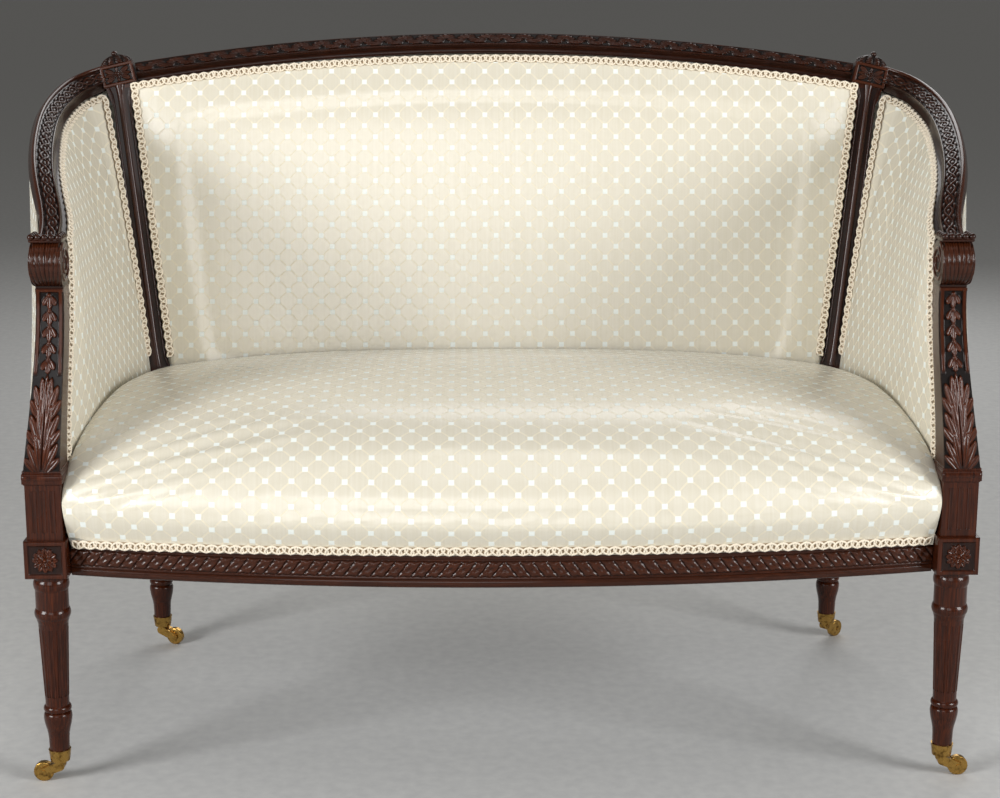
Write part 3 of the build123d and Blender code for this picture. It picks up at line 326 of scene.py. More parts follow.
@dataclass(frozen=True)
class TrellisSilk:
    """Ribbed satin silk with a matt woven trellis of bowed diamonds and a pale spot at each crossing."""

    name: str = "trellis_silk"
    ground: str = "#e3ded0"
    shade: str = "#c9c0a6"
    line: str = "#e0d7bf"
    spot: str = "#e8ede8"
    period: float = 31.5
    bow: float = 0.03
    line_half: float = 0.7
    spot_half: float = 3.4
    rib: float = 3.2

    def figure(self, tree: bpy.types.NodeTree, weave: bpy.types.NodeSocket) -> list[bpy.types.NodeSocket]:
        """Draw the trellis on the weave map.

        Args:
            tree: The material's node tree.
            weave: The piece's own map along the cloth, in metres.

        Returns:
            Share of line and share of spot at a place.
        """
        axes = add_node(tree, "SeparateXYZ", {0: weave}).node.outputs[:2]
        across, up = [add_node(tree, "Math", {0: axis, 1: self.period * MM}, operation="DIVIDE") for axis in axes]
        ways = [add_node(tree, "Math", {0: across, 1: up}, operation=sign) for sign in ("ADD", "SUBTRACT")]
        # Each side of a diamond bows upwards between its crossings
        sides = []
        for way, other, bow in ((*ways, -self.bow), (*reversed(ways), self.bow)):
            turn = add_node(tree, "Math", {0: other, 1: math.pi}, operation="MULTIPLY")
            wave = add_node(tree, "Math", {0: turn}, operation="SINE")
            lift = add_node(tree, "Math", {0: wave}, operation="ABSOLUTE")
            sides.append(add_node(tree, "Math", {0: lift, 1: bow, 2: way}, operation="MULTIPLY_ADD"))
        gaps = [add_node(tree, "Math", {0: way, 1: 0.5}, operation="PINGPONG") for way in sides + ways]
        # Distance to the nearest line, measured square to it, and size of the square spot round a crossing
        near = add_node(tree, "Math", {0: gaps[0], 1: gaps[1]}, operation="MINIMUM")
        square = add_node(tree, "Math", {0: gaps[2], 1: gaps[3]}, operation="ADD")
        drawn = []
        for share, scale, half in ((near, self.period / math.sqrt(2), self.line_half),
                                   (square, self.period / 2, self.spot_half)):
            gap = add_node(tree, "Math", {0: share, 1: scale}, operation="MULTIPLY")
            drawn.append(add_node(tree, "MapRange", {
                "Value": gap, "From Min": half - 0.5, "From Max": half + 0.5, "To Min": 1.0, "To Max": 0.0},
                interpolation_type="SMOOTHSTEP"))
        return drawn

    def build(self) -> bpy.types.Material:
        """Make the woven silk from the piece's own weave map, which is in metres.

        Returns:
            The finish.
        """
        material, tree, shader = new_material(self.name)
        weave = add_node(tree, "UVMap", uv_map="weave")
        line, spot = self.figure(tree, weave)
        # Ribs are finer on the real cloth, and are drawn wide enough to show here
        stretch = add_node(tree, "Mapping", {"Vector": weave, "Scale": (1 / (self.rib * MM), 9.0, 1.0)})
        ribs = add_node(tree, "TexNoise", {"Vector": stretch, "Scale": 1.0, "Detail": 2.0})
        slubs = add_node(tree, "TexNoise", {"Vector": weave, "Scale": 14.0, "Detail": 3.0})
        cloth = linear(self.ground)
        layers = ((ribs, 0.62, self.shade), (slubs, 0.22, self.shade), (line, 0.9, self.line), (spot, 1.0, self.spot))
        for factor, share, colour in layers:
            amount = add_node(tree, "Math", {0: factor, 1: share}, operation="MULTIPLY")
            cloth = add_node(tree, "Mix", {0: amount, 6: cloth, 7: linear(colour)}, 2, data_type="RGBA")
        # The satin ground shines and the trellis doesn't, so it is pale in shade and dark in a highlight
        matt = add_node(tree, "Math", {0: line, 1: spot}, operation="MAXIMUM")
        rough = add_node(tree, "Math", {0: matt, 1: 0.35, 2: 0.27}, operation="MULTIPLY_ADD")
        shine = add_node(tree, "Math", {0: matt, 1: -0.9, 2: 1.0}, operation="MULTIPLY_ADD")
        sunk = add_node(tree, "Math", {0: line, 1: -0.5, 2: ribs}, operation="MULTIPLY_ADD")
        raised = add_node(tree, "Math", {0: spot, 1: 1.2, 2: sunk}, operation="MULTIPLY_ADD")
        bump = add_node(tree, "Bump", {"Height": raised, "Strength": 0.22, "Distance": 0.0005})
        thread = add_node(tree, "Tangent", direction_type="UV_MAP", uv_map="weave")
        fill(shader, {"Base Color": cloth, "Roughness": rough, "Specular IOR Level": shine, "Normal": bump,
                      "Tangent": thread, "Anisotropic": 0.6, "Sheen Weight": 0.1, "Sheen Roughness": 0.4})
        return material


@dataclass(frozen=True)
class Braid:
    """Ivory silk gimp: twisted cord, with painted tan shade where it dips and between its loops."""

    name: str = "ivory_silk_gimp"
    high: str = "#ece1cd"
    turned: str = "#d6c6ab"
    # Tan of the painted shade where the cord dips
    low: str = "#8d7350"

    def build(self) -> bpy.types.Material:
        """Make the braid with a fine twist, turning tan with painted shade where it dips.

        Returns:
            The finish.
        """
        material, tree, shader = new_material(self.name)
        place = add_node(tree, "TexCoord", out="Object")
        wax_and_shade = add_node(tree, "Attribute", out="Fac", attribute_name="wax_and_shade")
        # Twist of the thread, about 1.2 mm, drawn as fine speckle
        twist = add_node(tree, "TexNoise", {"Vector": place, "Scale": 700.0, "Detail": 1.0})
        amount = add_node(tree, "Math", {0: twist, 1: 0.4}, operation="MULTIPLY")
        thread = add_node(tree, "Mix", {0: amount, 6: linear(self.high), 7: linear(self.turned)}, 2, data_type="RGBA")
        # Painted shade: tan where the cord dips under and on the band between the loops
        braid = add_node(tree, "Mix", {0: wax_and_shade, 6: thread, 7: linear(self.low)}, 2, data_type="RGBA")
        bump = add_node(tree, "Bump", {"Height": twist, "Strength": 0.3, "Distance": 0.0005})
        fill(shader, {"Base Color": braid, "Normal": bump, "Roughness": 0.6, "Sheen Weight": 0.2})
        return material


@dataclass(frozen=True)
class CoarseCloth:
    """Plain woven cloth of the hidden upholstery, such as hessian, webbing and calico: matt, with a visible weave."""

    name: str
    warp: str
    weft: str
    thread: float = 1.6

    def build(self) -> bpy.types.Material:
        """Make the plain weave.

        Returns:
            The finish.
        """
        material, tree, shader = new_material(self.name)
        place = add_node(tree, "TexCoord", out="Object")
        scaled = add_node(tree, "Mapping", {"Vector": place, "Scale": (1 / (self.thread * MM),) * 3})
        weave = add_node(tree, "TexChecker", {"Vector": scaled, "Scale": 1.0}, "Fac")
        fuzz = add_node(tree, "TexNoise", {"Vector": place, "Scale": 120.0, "Detail": 3.0})
        fibre = add_node(tree, "Math", {0: fuzz, 1: 0.5}, operation="MULTIPLY")
        over = add_node(tree, "Math", {0: weave, 1: 0.4, 2: fibre}, operation="MULTIPLY_ADD")
        cloth = add_node(tree, "Mix", {0: over, 6: linear(self.warp), 7: linear(self.weft)}, 2, data_type="RGBA")
        bump = add_node(tree, "Bump", {"Height": over, "Strength": 0.3, "Distance": 0.0006})
        fill(shader, {"Base Color": cloth, "Normal": bump, "Roughness": 0.85})
        return material


@dataclass(frozen=True)
class AgedMetal:
    """Cast or drawn metal with a worn polish and brown tarnish in patches."""

    name: str
    bright: str
    tarnish: str
    roughness: float = 0.26

    def build(self) -> bpy.types.Material:
        """Make the worn metal.

        Returns:
            The finish.
        """
        material, tree, shader = new_material(self.name)
        place = add_node(tree, "TexCoord", out="Object")
        # Tarnish patches about 6 mm across
        patches = add_node(tree, "TexNoise", {"Vector": place, "Scale": 160.0, "Detail": 4.0})
        worn = add_node(tree, "MapRange", {"Value": patches, "From Min": 0.48, "From Max": 0.72})
        metal = add_node(tree, "Mix", {0: worn, 6: linear(self.bright), 7: linear(self.tarnish)}, 2, data_type="RGBA")
        rough = add_node(tree, "Math", {0: worn, 1: 0.28, 2: self.roughness}, operation="MULTIPLY_ADD")
        fill(shader, {"Base Color": metal, "Roughness": rough, "Metallic": 1.0})
        return material


@dataclass(frozen=True)
class StudioFloor:
    """Plain pale floor paint: matt, with a faint mottle."""

    name: str = "pale_studio_floor"
    shades: tuple[str, str] = ("#b9b9b8", "#c3c3c1")

    def build(self) -> bpy.types.Material:
        """Make the matt floor.

        Returns:
            The finish.
        """
        material, tree, shader = new_material(self.name)
        place = add_node(tree, "TexCoord", out="Object")
        mottle = add_node(tree, "TexNoise", {"Vector": place, "Scale": 60.0, "Detail": 3.0})
        paint = add_node(tree, "ValToRGB", {"Fac": mottle}, stops=tuple(zip((0.3, 0.7), self.shades)))
        fill(shader, {"Base Color": paint, "Roughness": 0.8})
        return material


class Workshop:
    """Materials, each made once and shared."""

    def __init__(self) -> None:
        """Make every finish of the settee."""
        self.upright = Mahogany("mahogany_upright_grain", Grain.UPRIGHT, ("#210c05", "#3e1909", "#592810")).build()
        self.along = Mahogany("mahogany_long_grain", Grain.ALONG).build()
        self.arm = Mahogany("mahogany_arm_grain", Grain.BACK).build()
        self.beech = PlainWood().build()
        self.silk = TrellisSilk().build()
        self.gimp = Braid().build()
        self.hessian = CoarseCloth("jute_hessian", "#8f7347", "#6d5533").build()
        self.webbing = CoarseCloth("jute_webbing", "#7d6a48", "#5c4a30", 2.5).build()
        self.stuffing = CoarseCloth("curled_hair", "#5d4a33", "#3f3122", 3.0).build()
        self.calico = CoarseCloth("black_calico", "#1c1b1b", "#0f0f10", 1.2).build()
        self.brass = AgedMetal("aged_brass", "#b58f4c", "#5f4520").build()
        self.steel = AgedMetal("coppered_steel", "#8c7f74", "#4a3b31", 0.4).build()
        self.floor = StudioFloor().build()


# Mesh helpers


def deselect() -> None:
    """Leave nothing selected, so that an operator acts only on the new piece."""
    if bpy.context.object and bpy.context.object.mode != "OBJECT":
        bpy.ops.object.mode_set(mode="OBJECT")
    bpy.ops.object.select_all(action="DESELECT")


def activate(obj: Piece) -> None:
    """Select one object alone and make it the active one.

    Args:
        obj: The object.
    """
    deselect()
    obj.select_set(True)
    bpy.context.view_layer.objects.active = obj


def write_points(obj: Piece, points: Array) -> None:
    """Lay a mesh's points, given in millimetres."""
    obj.data.vertices.foreach_set("co", np.asarray(points * MM, dtype=np.float32).ravel())
    obj.data.update()


def read_points(obj: Piece) -> Array:
    """Read a mesh's points in millimetres.

    Args:
        obj: The piece.

    Returns:
        One row for each point.
    """
    flat = np.empty(len(obj.data.vertices) * 3, dtype=np.float32)
    obj.data.vertices.foreach_get("co", flat)
    return flat.reshape(-1, 3).astype(float) / MM


def add_grid(name: str, columns: int, rows: int, surface: Surface) -> tuple[Piece, Array, Array]:
    """Add a grid and lay it on a surface.

    Args:
        name: Name of the piece.
        columns: Faces along the first direction.
        rows: Faces along the second direction.
        surface: Points in millimetres for arrays of the two shares, each from 0 to 1.

    Returns:
        The new object and the two shares of each of its points.
    """
    deselect()
    bpy.ops.mesh.primitive_grid_add(x_subdivisions=columns, y_subdivisions=rows, size=1.0)
    obj = bpy.context.object
    obj.name = name
    obj.data.name = name
    flat = read_points(obj) * MM
    u, v = clamp(flat[:, 0] + 0.5), clamp(flat[:, 1] + 0.5)
    write_points(obj, surface(u, v))
    return obj, u, v


def set_share(obj: Piece, name: str, values: Array) -> None:
    """Store one number per point for a material to read."""
    layer = obj.data.attributes.new(name, "FLOAT", "POINT")
    layer.data.foreach_set("value", clamp(values).astype(np.float32))


def set_weave(obj: Piece, across: Array, up: Array) -> None:
    """Write the weave map from each point's distances along the cloth, in millimetres.

    Args:
        obj: The piece.
        across: Distance across the cloth at each point.
        up: Distance up the cloth at each point.
    """
    layer = obj.data.uv_layers.active or obj.data.uv_layers.new()
    layer.name = "weave"
    corners = np.empty(len(obj.data.loops), dtype=np.int32)
    obj.data.loops.foreach_get("vertex_index", corners)
    pairs = np.stack([across[corners], up[corners]], axis=1) * MM
    layer.data.foreach_set("uv", pairs.astype(np.float32).ravel())


def tidy_mesh(obj: Piece, merge: float = 0.0, close: bool = False, angle: float = 40.0) -> Piece:
    """Merge doubles, close open ends, point the faces outwards and shade smooth.

    Args:
        obj: The piece.
        merge: Merge distance in millimetres, or zero to merge nothing.
        close: Fill every open edge loop with a face.
        angle: Faces that meet at less than this many degrees are shaded smooth.

    Returns:
        The same piece.
    """
    activate(obj)
    bpy.ops.object.mode_set(mode="EDIT")
    bpy.ops.mesh.select_all(action="SELECT")
    if merge:
        bpy.ops.mesh.remove_doubles(threshold=merge * MM)
    if close:
        bpy.ops.mesh.fill_holes(sides=0)
        bpy.ops.mesh.select_all(action="SELECT")
    bpy.ops.mesh.normals_make_consistent(inside=False)
    bpy.ops.object.mode_set(mode="OBJECT")
    bpy.ops.object.shade_smooth_by_angle(angle=math.radians(angle))
    return obj


def add_carved(name: str, columns: int, rows: int, carve: Carving, merge: float = 0.0) -> Piece:
    """Add a grid, carve it, and store where it is darkened with painted shade and waxed finish and where it is
    lightened with a painted highlight and worn polish.

    Args:
        name: Name of the piece.
        columns: Faces along the first direction.
        rows: Faces along the second direction.
        carve: Points, then the shares of painted shade and of painted highlight, for arrays of the two shares.
        merge: Merge distance in millimetres, or zero to merge nothing.

    Returns:
        The closed piece.
    """
    shares: dict[str, Array] = {}

    def surface(u: Array, v: Array) -> Array:
        """Points of the carving."""
        points, shares["wax_and_shade"], shares["wear_and_highlight"] = carve(u, v)
        return points

    obj, _, _ = add_grid(name, columns, rows, surface)
    for key, values in shares.items():
        set_share(obj, key, values)
    return tidy_mesh(obj, merge=merge, close=True, angle=50)


def settle(edge: float = 0.0, segments: int = 3) -> Piece:
    """Put the new primitive's place into its mesh and round its edges.

    Args:
        edge: Width of the rounding in millimetres, or zero for none.
        segments: Faces across the rounding.

    Returns:
        The primitive.
    """
    obj = bpy.context.object
    bpy.ops.object.transform_apply(location=True, rotation=True, scale=True)
    if edge:
        bevel = obj.modifiers.new("eased_edge", "BEVEL")
        bevel.width, bevel.segments = edge * MM, segments
        bpy.ops.object.modifier_apply(modifier=bevel.name)
    return obj


def thicken(obj: Piece, thickness: float) -> Piece:
    """Give a sheet its thickness, from its face inwards.

    Args:
        obj: The sheet, with its faces outwards.
        thickness: Thickness in millimetres.

    Returns:
        The same piece, as a closed skin.
    """
    activate(obj)
    wall = obj.modifiers.new("thickness", "SOLIDIFY")
    wall.thickness, wall.offset = thickness * MM, -1.0
    bpy.ops.object.modifier_apply(modifier=wall.name)
    return tidy_mesh(obj, angle=80)


def plump(obj: Piece, held: Array, reach: float, pressure: float = 4.0) -> Piece:
    """Stretch a padded cover by a short cloth simulation, held along its tacked edges.

    Args:
        obj: The padded piece, with every point in its final place apart from the stretch.
        held: Hold of each point, from 0, free, to 1, tacked down.
        reach: The most that a point may move, in millimetres.
        pressure: Air pressure that stands for the stuffing.

    Returns:
        The same piece, with the settled shape in its mesh.
    """
    group = obj.vertex_groups.new(name="tacked")
    for index, share in enumerate(held):
        if share > 0:
            group.add([index], float(share), "REPLACE")
    start = read_points(obj)
    cloth = obj.modifiers.new("cover", "CLOTH")
    cloth.settings.quality = 2
    cloth.settings.vertex_group_mass = group.name
    cloth.settings.use_pressure = True
    cloth.settings.uniform_pressure_force = pressure
    cloth.settings.effector_weights.gravity = 0.0
    cloth.collision_settings.use_collision = False
    cloth.point_cache.frame_end = SETTLE_FRAMES
    for step in range(1, SETTLE_FRAMES + 1):
        bpy.context.scene.frame_set(step)
    settled = obj.evaluated_get(bpy.context.evaluated_depsgraph_get())
    flat = np.empty(len(obj.data.vertices) * 3, dtype=np.float32)
    settled.data.vertices.foreach_get("co", flat)
    move = flat.reshape(-1, 3).astype(float) / MM - start
    length = np.linalg.norm(move, axis=1, keepdims=True)
    obj.modifiers.remove(cloth)
    obj.vertex_groups.clear()
    bpy.context.scene.frame_set(1)
    write_points(obj, start + move * np.minimum(1.0, reach / np.maximum(length, 1e-9)))
    LOG.info("%s: settled, at most %.1f mm", obj.name, min(float(length.max()), reach))
    return obj


def join(name: str, pieces: Sequence[Piece]) -> Piece:
    """Join several meshes into one piece.

    Args:
        name: Name of the piece.
        pieces: Its parts.

    Returns:
        The piece.
    """
    activate(pieces[0])
    for piece in pieces:
        piece.select_set(True)
    bpy.ops.object.join()
    pieces[0].name = name
    pieces[0].data.name = name
    return pieces[0]


def mirrored(obj: Piece, name: str) -> Piece:
    """Copy a right-hand piece to the left, with its own mesh and its faces outwards.

    Args:
        obj: The right-hand piece.
        name: Name of the copy.

    Returns:
        The left-hand piece.
    """
    twin = obj.copy()
    twin.data = obj.data.copy()
    twin.name = name
    twin.data.name = name
    bpy.context.collection.objects.link(twin)
    points = read_points(twin)
    points[:, 0] *= -1
    write_points(twin, points)
    activate(twin)
    bpy.ops.object.mode_set(mode="EDIT")
    bpy.ops.mesh.select_all(action="SELECT")
    bpy.ops.mesh.flip_normals()
    bpy.ops.object.mode_set(mode="OBJECT")
    return twin


def finish_piece(obj: Piece, material: bpy.types.Material, slot: str, *nodes: str) -> Piece:
    """Give a piece its finish, let it ride on the settee and hide the solids it stands for.

    Args:
        obj: The piece.
        material: Its finish.
        slot: The record's material slot; not used.
        *nodes: Solids that it replaces.

    Returns:
        The same piece.
    """
    obj.data.materials.clear()
    obj.data.materials.append(material)
    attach(obj, BODY)
    if nodes:
        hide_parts(*nodes)
    LOG.info("%s: %d faces", obj.name, len(obj.data.polygons))
    return obj


def finish_pair(right: Piece, material: bpy.types.Material, slot: str,
                *nodes: str) -> tuple[Piece, Piece]:
    """Mirror a right-hand piece to the left and finish both.

    Args:
        right: The right-hand piece, with a name that ends in right.
        material: Their finish.
        slot: The record's material slot.
        *nodes: Solids that they replace, without the ends of their names.

    Returns:
        The right-hand and the left-hand piece.
    """
    left = mirrored(right, right.name.replace("_right", "_left"))
    for obj, end in ((right, "right"), (left, "left")):
        finish_piece(obj, material, slot, *(f"{node}_{end}" for node in nodes))
    return right, left


def arc_length(points: Array) -> Array:
    """Distance of each point of a line from its first, along the line."""
    return np.concatenate([[0.0], np.cumsum(np.linalg.norm(np.diff(points, axis=0), axis=1))])


def smooth_through(rows: Array, samples: Array) -> Array:
    """Natural cubic spline through rows, spaced by the distance between their first three columns.

    Args:
        rows: Values to pass through, one row each.
        samples: Shares of the whole run, from 0 to 1.

    Returns:
        One row for each sample.
    """
    run = arc_length(rows[:, :3])
    knots = run / run[-1]
    gaps = np.diff(knots)
    count = len(knots)
    system = np.eye(count)
    right = np.zeros_like(rows)
    for i in range(1, count - 1):
        system[i, i - 1:i + 2] = gaps[i - 1], 2 * (gaps[i - 1] + gaps[i]), gaps[i]
        right[i] = 6 * ((rows[i + 1] - rows[i]) / gaps[i] - (rows[i] - rows[i - 1]) / gaps[i - 1])
    bends = np.linalg.solve(system, right)
    at = np.clip(np.searchsorted(knots, samples) - 1, 0, count - 2)
    h = gaps[at][:, None]
    a = (knots[at + 1] - samples)[:, None] / h
    b = 1 - a
    return a * rows[at] + b * rows[at + 1] + ((a**3 - a) * bends[at] + (b**3 - b) * bends[at + 1]) * h**2 / 6


def clamp(share: Array) -> Array:
    """Hold a share between nothing and all."""
    return np.clip(share, 0, 1)


def unit(vectors: Array) -> Array:
    """Scale vectors to length one."""
    return vectors / np.maximum(np.linalg.norm(vectors, axis=-1, keepdims=True), 1e-9)


# Carving: heights in millimetres over a flat field


def petal(x: Array, y: Array, base: tuple[float, float], tip: tuple[float, float], half_width: float, height: float,
          vein: float = 0.35) -> Array:
    """Height of one rounded leaf with a sunk vein, from its base to its tip.

    Args:
        x: Places across the field.
        y: Places up the field.
        base: Where the leaf starts.
        tip: Where it ends.
        half_width: Half its width where it is widest.
        height: Its height there.
        vein: Depth of the vein as a share of the height.

    Returns:
        Heights, zero outside the leaf.
    """
    dx, dy = tip[0] - base[0], tip[1] - base[1]
    length = math.hypot(dx, dy)
    along = ((x - base[0]) * dx + (y - base[1]) * dy) / length**2
    aside = ((y - base[1]) * dx - (x - base[0]) * dy) / length
    inside = clamp(along)
    outline = half_width * np.clip(np.sin(np.pi * inside**1.5), 0, None) ** 0.6 + 1e-6
    reach = clamp(1 - (aside / outline) ** 2)
    body = np.sqrt(reach) * (0.55 + 0.45 * inside)
    groove = vein * np.exp(-((aside / (0.22 * half_width)) ** 2)) * np.sqrt(reach)
    return np.where((along > 0) & (along < 1), height * (body - groove), 0.0)


def leaf_pairs(x: Array, y: Array, height: Array, lobes: tuple) -> Array:
    """Add pairs of lobes, mirrored about the middle, to a leaf.

    Args:
        x: Distance across from the middle.
        y: Distance up.
        height: Height of the leaf so far.
        lobes: Base across and up, tip across and up, half width and height of each.

    Returns:
        Height at each point, in millimetres.
    """
    for foot_x, foot_y, tip_x, tip_y, half_width, lift in lobes:
        for way in (-1, 1):
            lobe = petal(x, y, (way * foot_x, foot_y), (way * tip_x, tip_y), half_width, lift)
            height = np.maximum(height, lobe)
    return height


def rosette(x: Array, y: Array, radius: float, count: int, height: float) -> Array:
    """Height of a two-tier flower with a boss in the middle.

    Args:
        x: Distance across from the middle.
        y: Distance up from the middle.
        radius: Radius of the flower.
        count: Petals in a tier.
        height: Greatest height.

    Returns:
        Height at each point, in millimetres.
    """
    total = np.zeros_like(x)
    for reach, lift, turn in ((1.0, 0.72, 0.0), (0.62, 1.0, 0.5)):
        for index in range(count):
            angle = 2 * math.pi * (index + turn) / count
            tip = (radius * reach * math.cos(angle), radius * reach * math.sin(angle))
            total = np.maximum(total, petal(x, y, (0.0, 0.0), tip, radius * reach * 0.26, height * lift))
    boss = np.sqrt(np.clip(1 - (x**2 + y**2) / (0.16 * radius) ** 2, 0, None))
    return np.maximum(total, height * 1.1 * boss)


def interlace(along: Array, across: Array, pitch: float, height: float) -> Array:
    """Height of two crossing ribbons with a leaf in each eye. Across runs from -1 to 1.

    Args:
        along: Distance along the band.
        across: Share across the band.
        pitch: Length of one eye.
        height: Greatest height.

    Returns:
        Height at each point, in millimetres.
    """
    swing = 0.6 * np.sin(np.pi * along / pitch)
    first = np.sqrt(clamp(1 - ((across - swing) / 0.27) ** 2))
    second = np.sqrt(clamp(1 - ((across + swing) / 0.27) ** 2))
    cycle = (along % pitch) - pitch / 2
    eye = np.sqrt(clamp(1 - (cycle / (0.27 * pitch)) ** 2 - (across / 0.34) ** 2))
    ends = ((along + pitch / 2) % pitch) - pitch / 2
    bud = np.sqrt(clamp(1 - (ends / (0.3 * pitch)) ** 2 - ((np.abs(across) - 0.8) / 0.26) ** 2))
    over = 0.85 + 0.15 * np.cos(2 * np.pi * along / pitch)
    return height * np.maximum.reduce([first * over, second * (1.7 - over), 0.8 * eye, 0.75 * bud])


def running_leaf(along: Array, across: Array, pitch: float, height: float) -> Array:
    """Height of a waving stem with leaves to either side. Across is in millimetres from the middle.

    Args:
        along: Distance along the band.
        across: Distance across the band.
        pitch: Length of one wave.
        height: Greatest height.

    Returns:
        Height at each point, in millimetres.
    """
    stem_at = 1.6 * np.sin(2 * np.pi * along / pitch)
    total = 0.55 * np.sqrt(clamp(1 - ((across - stem_at) / 1.1) ** 2))
    # Start along, start across, end along, end across, half width and height of each finger
    fingers = ((0.02, -1.0, 0.30, 6.0, 2.3, 0.9), (0.10, -0.5, 0.52, 6.2, 2.6, 1.0),
               (0.18, 0.0, 0.72, 4.4, 2.4, 0.95), (0.24, 0.5, 0.86, 1.6, 2.0, 0.85),
               (0.42, -0.5, 0.66, -5.4, 2.2, 0.75))
    for turn, lean in ((0.0, 1), (0.5, -1)):
        cycle = (along - turn * pitch) % pitch
        for start, low, end, high, half, lift in fingers:
            leaf = petal(cycle, across * lean, (start * pitch, low), (end * pitch, high), half, lift)
            total = np.maximum(total, leaf)
    return height * total


# Sub-assemblies


@dataclass
class ArmRail:
    """Moulded and carved rail from the scroll hand round to the tablet."""

    width: float = 33.0
    extra_width: float = 5.0
    thickness: float = 24.0
    stations: int = 560
    face_count: int = 53
    pitch: float = 24.0
    # Share of the way back, share of the way up, share of the spread, then the way that the face looks
    rows: tuple = (
        (0.000, 0.000, 0.000, -0.10, 0.30, 0.95),
        (0.067, 0.083, 0.063, -0.15, 0.45, 0.88),
        (0.191, 0.289, 0.360, -0.25, 0.40, 0.88),
        (0.344, 0.478, 0.671, -0.35, 0.35, 0.87),
        (0.516, 0.628, 0.880, -0.46, 0.34, 0.82),
        (0.707, 0.761, 0.986, -0.58, 0.42, 0.69),
        (0.860, 0.872, 0.840, -0.55, 0.68, 0.50),
        (0.956, 0.944, 0.512, -0.28, 0.92, 0.28),
        (1.000, 1.000, 0.000, -0.08, 0.98, 0.18),
    )
    spread: float = 59.0
    overhang: float = 15.0
    frames: Array = field(init=False)

    def __post_init__(self) -> None:
        """Work out the rail's edge, face and width at each of its rows."""
        end_z = STANCE.tablet_z + 15.0
        start = np.array([STANCE.hand_x + self.overhang, STANCE.behind(46.0), 674.0])
        end = np.array([STANCE.stile_x(end_z) + self.overhang, STANCE.stile_y(end_z), end_z])
        span = end - start
        table = np.array(self.rows)
        edge = start + np.stack([span[0] * table[:, 0] + self.spread * table[:, 2], span[1] * table[:, 0],
                                 span[2] * table[:, 1]], axis=1)
        look = np.stack([table[:, 3], -table[:, 4], table[:, 5]], axis=1)
        along = np.empty_like(edge)
        along[1:-1] = edge[2:] - edge[:-2]
        along[0], along[-1] = edge[1] - edge[0], edge[-1] - edge[-2]
        along = unit(along)
        face = unit(look - along * np.sum(look * along, axis=1, keepdims=True))
        outward = np.cross(along, face)
        corner = np.sin(np.linspace(0, np.pi, len(table)))
        width = self.width + self.extra_width * corner
        self.frames = np.hstack([edge, face, outward, width[:, None]])

    def stations_at(self, samples: Array) -> tuple[Array, Array, Array, Array]:
        """Edge points, faces, outward ways and widths at shares of the run."""
        rows = smooth_through(self.frames, samples)
        return rows[:, :3], unit(rows[:, 3:6]), unit(rows[:, 6:9]), rows[:, 9]

    @staticmethod
    def face_depth(q: Array) -> Array:
        """Depth of the moulding below the face, from the outer edge (0) to the inner edge (1).

        Args:
            q: Shares across the face.

        Returns:
            Depths in millimetres.
        """
        bead = 3.0 * (1 - np.sqrt(clamp(1 - ((q - 0.08) / 0.08) ** 2)))
        inner = 0.6 + 2.6 * (1 - np.sqrt(clamp(1 - ((q - 0.70) / 0.035) ** 2)))
        cove = 3.2 + 7.5 * clamp((q - 0.735) / 0.265) ** 0.6
        depth = np.where(q < 0.16, bead, 3.2)
        depth = np.where((q > 0.665) & (q < 0.735), inner, depth)
        return np.where(q >= 0.735, cove, depth)

    def contour(self) -> tuple[Array, Array]:
        """Work out the closed section, its face first.

        Returns:
            Shares across the face, and depths below it.
        """
        across = np.linspace(0, 1, self.face_count)
        depth = self.face_depth(across)
        t = self.thickness
        rest = np.array([(1.0, 16), (0.99, 20), (0.95, 23), (0.88, t), (0.5, t), (0.12, t), (0.05, 23), (0.01, 20),
                         (0.0, 14), (0.0, 6)])
        return np.append(across, np.append(rest[:, 0], 0.0)), np.append(depth, np.append(rest[:, 1], depth[0]))

    def build(self) -> Piece:
        """Sweep the moulded section and carve its band.

        Returns:
            The piece.
        """
        shares, depths = self.contour()
        last = len(shares) - 1

        def carve(u: Array, v: Array) -> Triple:
            """Points, painted shade and painted highlight of the carved rail."""
            edge, face, outward, width = self.stations_at(u)
            at = np.rint(v * last).astype(int)
            q, front = shares[at], at < self.face_count
            order = np.linspace(0, 1, 400)
            along = np.interp(u, order, arc_length(self.stations_at(order)[0]))
            band = (q > 0.2) & (q < 0.665) & front
            across = np.clip((q - 0.4325) / 0.215, -1, 1)
            relief = np.where(band, interlace(along, across, self.pitch, 2.8), 0.0)
            # Painted shade in the carving's hollows and the cove, with waxed finish, and a painted highlight on the
            # outer bead and the carving's tops, with worn polish
            wax_and_shade = np.where(band, 1 - relief / 2.3, np.where((q > 0.74) & front, 0.5, 0.0))
            wear_and_highlight = np.where((q < 0.13) & front, 0.25, np.where(band, relief / 14, 0.0))
            return edge - outward * (width * q)[:, None] - face * (depths[at] - relief)[:, None], wax_and_shade, wear_and_highlight

        return add_carved("arm_rail_carved_right", self.stations, last, carve, merge=SEAM)

    def dress(self, shop: Workshop) -> None:
        """Finish both arm rails."""
        finish_pair(self.build(), shop.arm, "mahogany", "arm_rail")


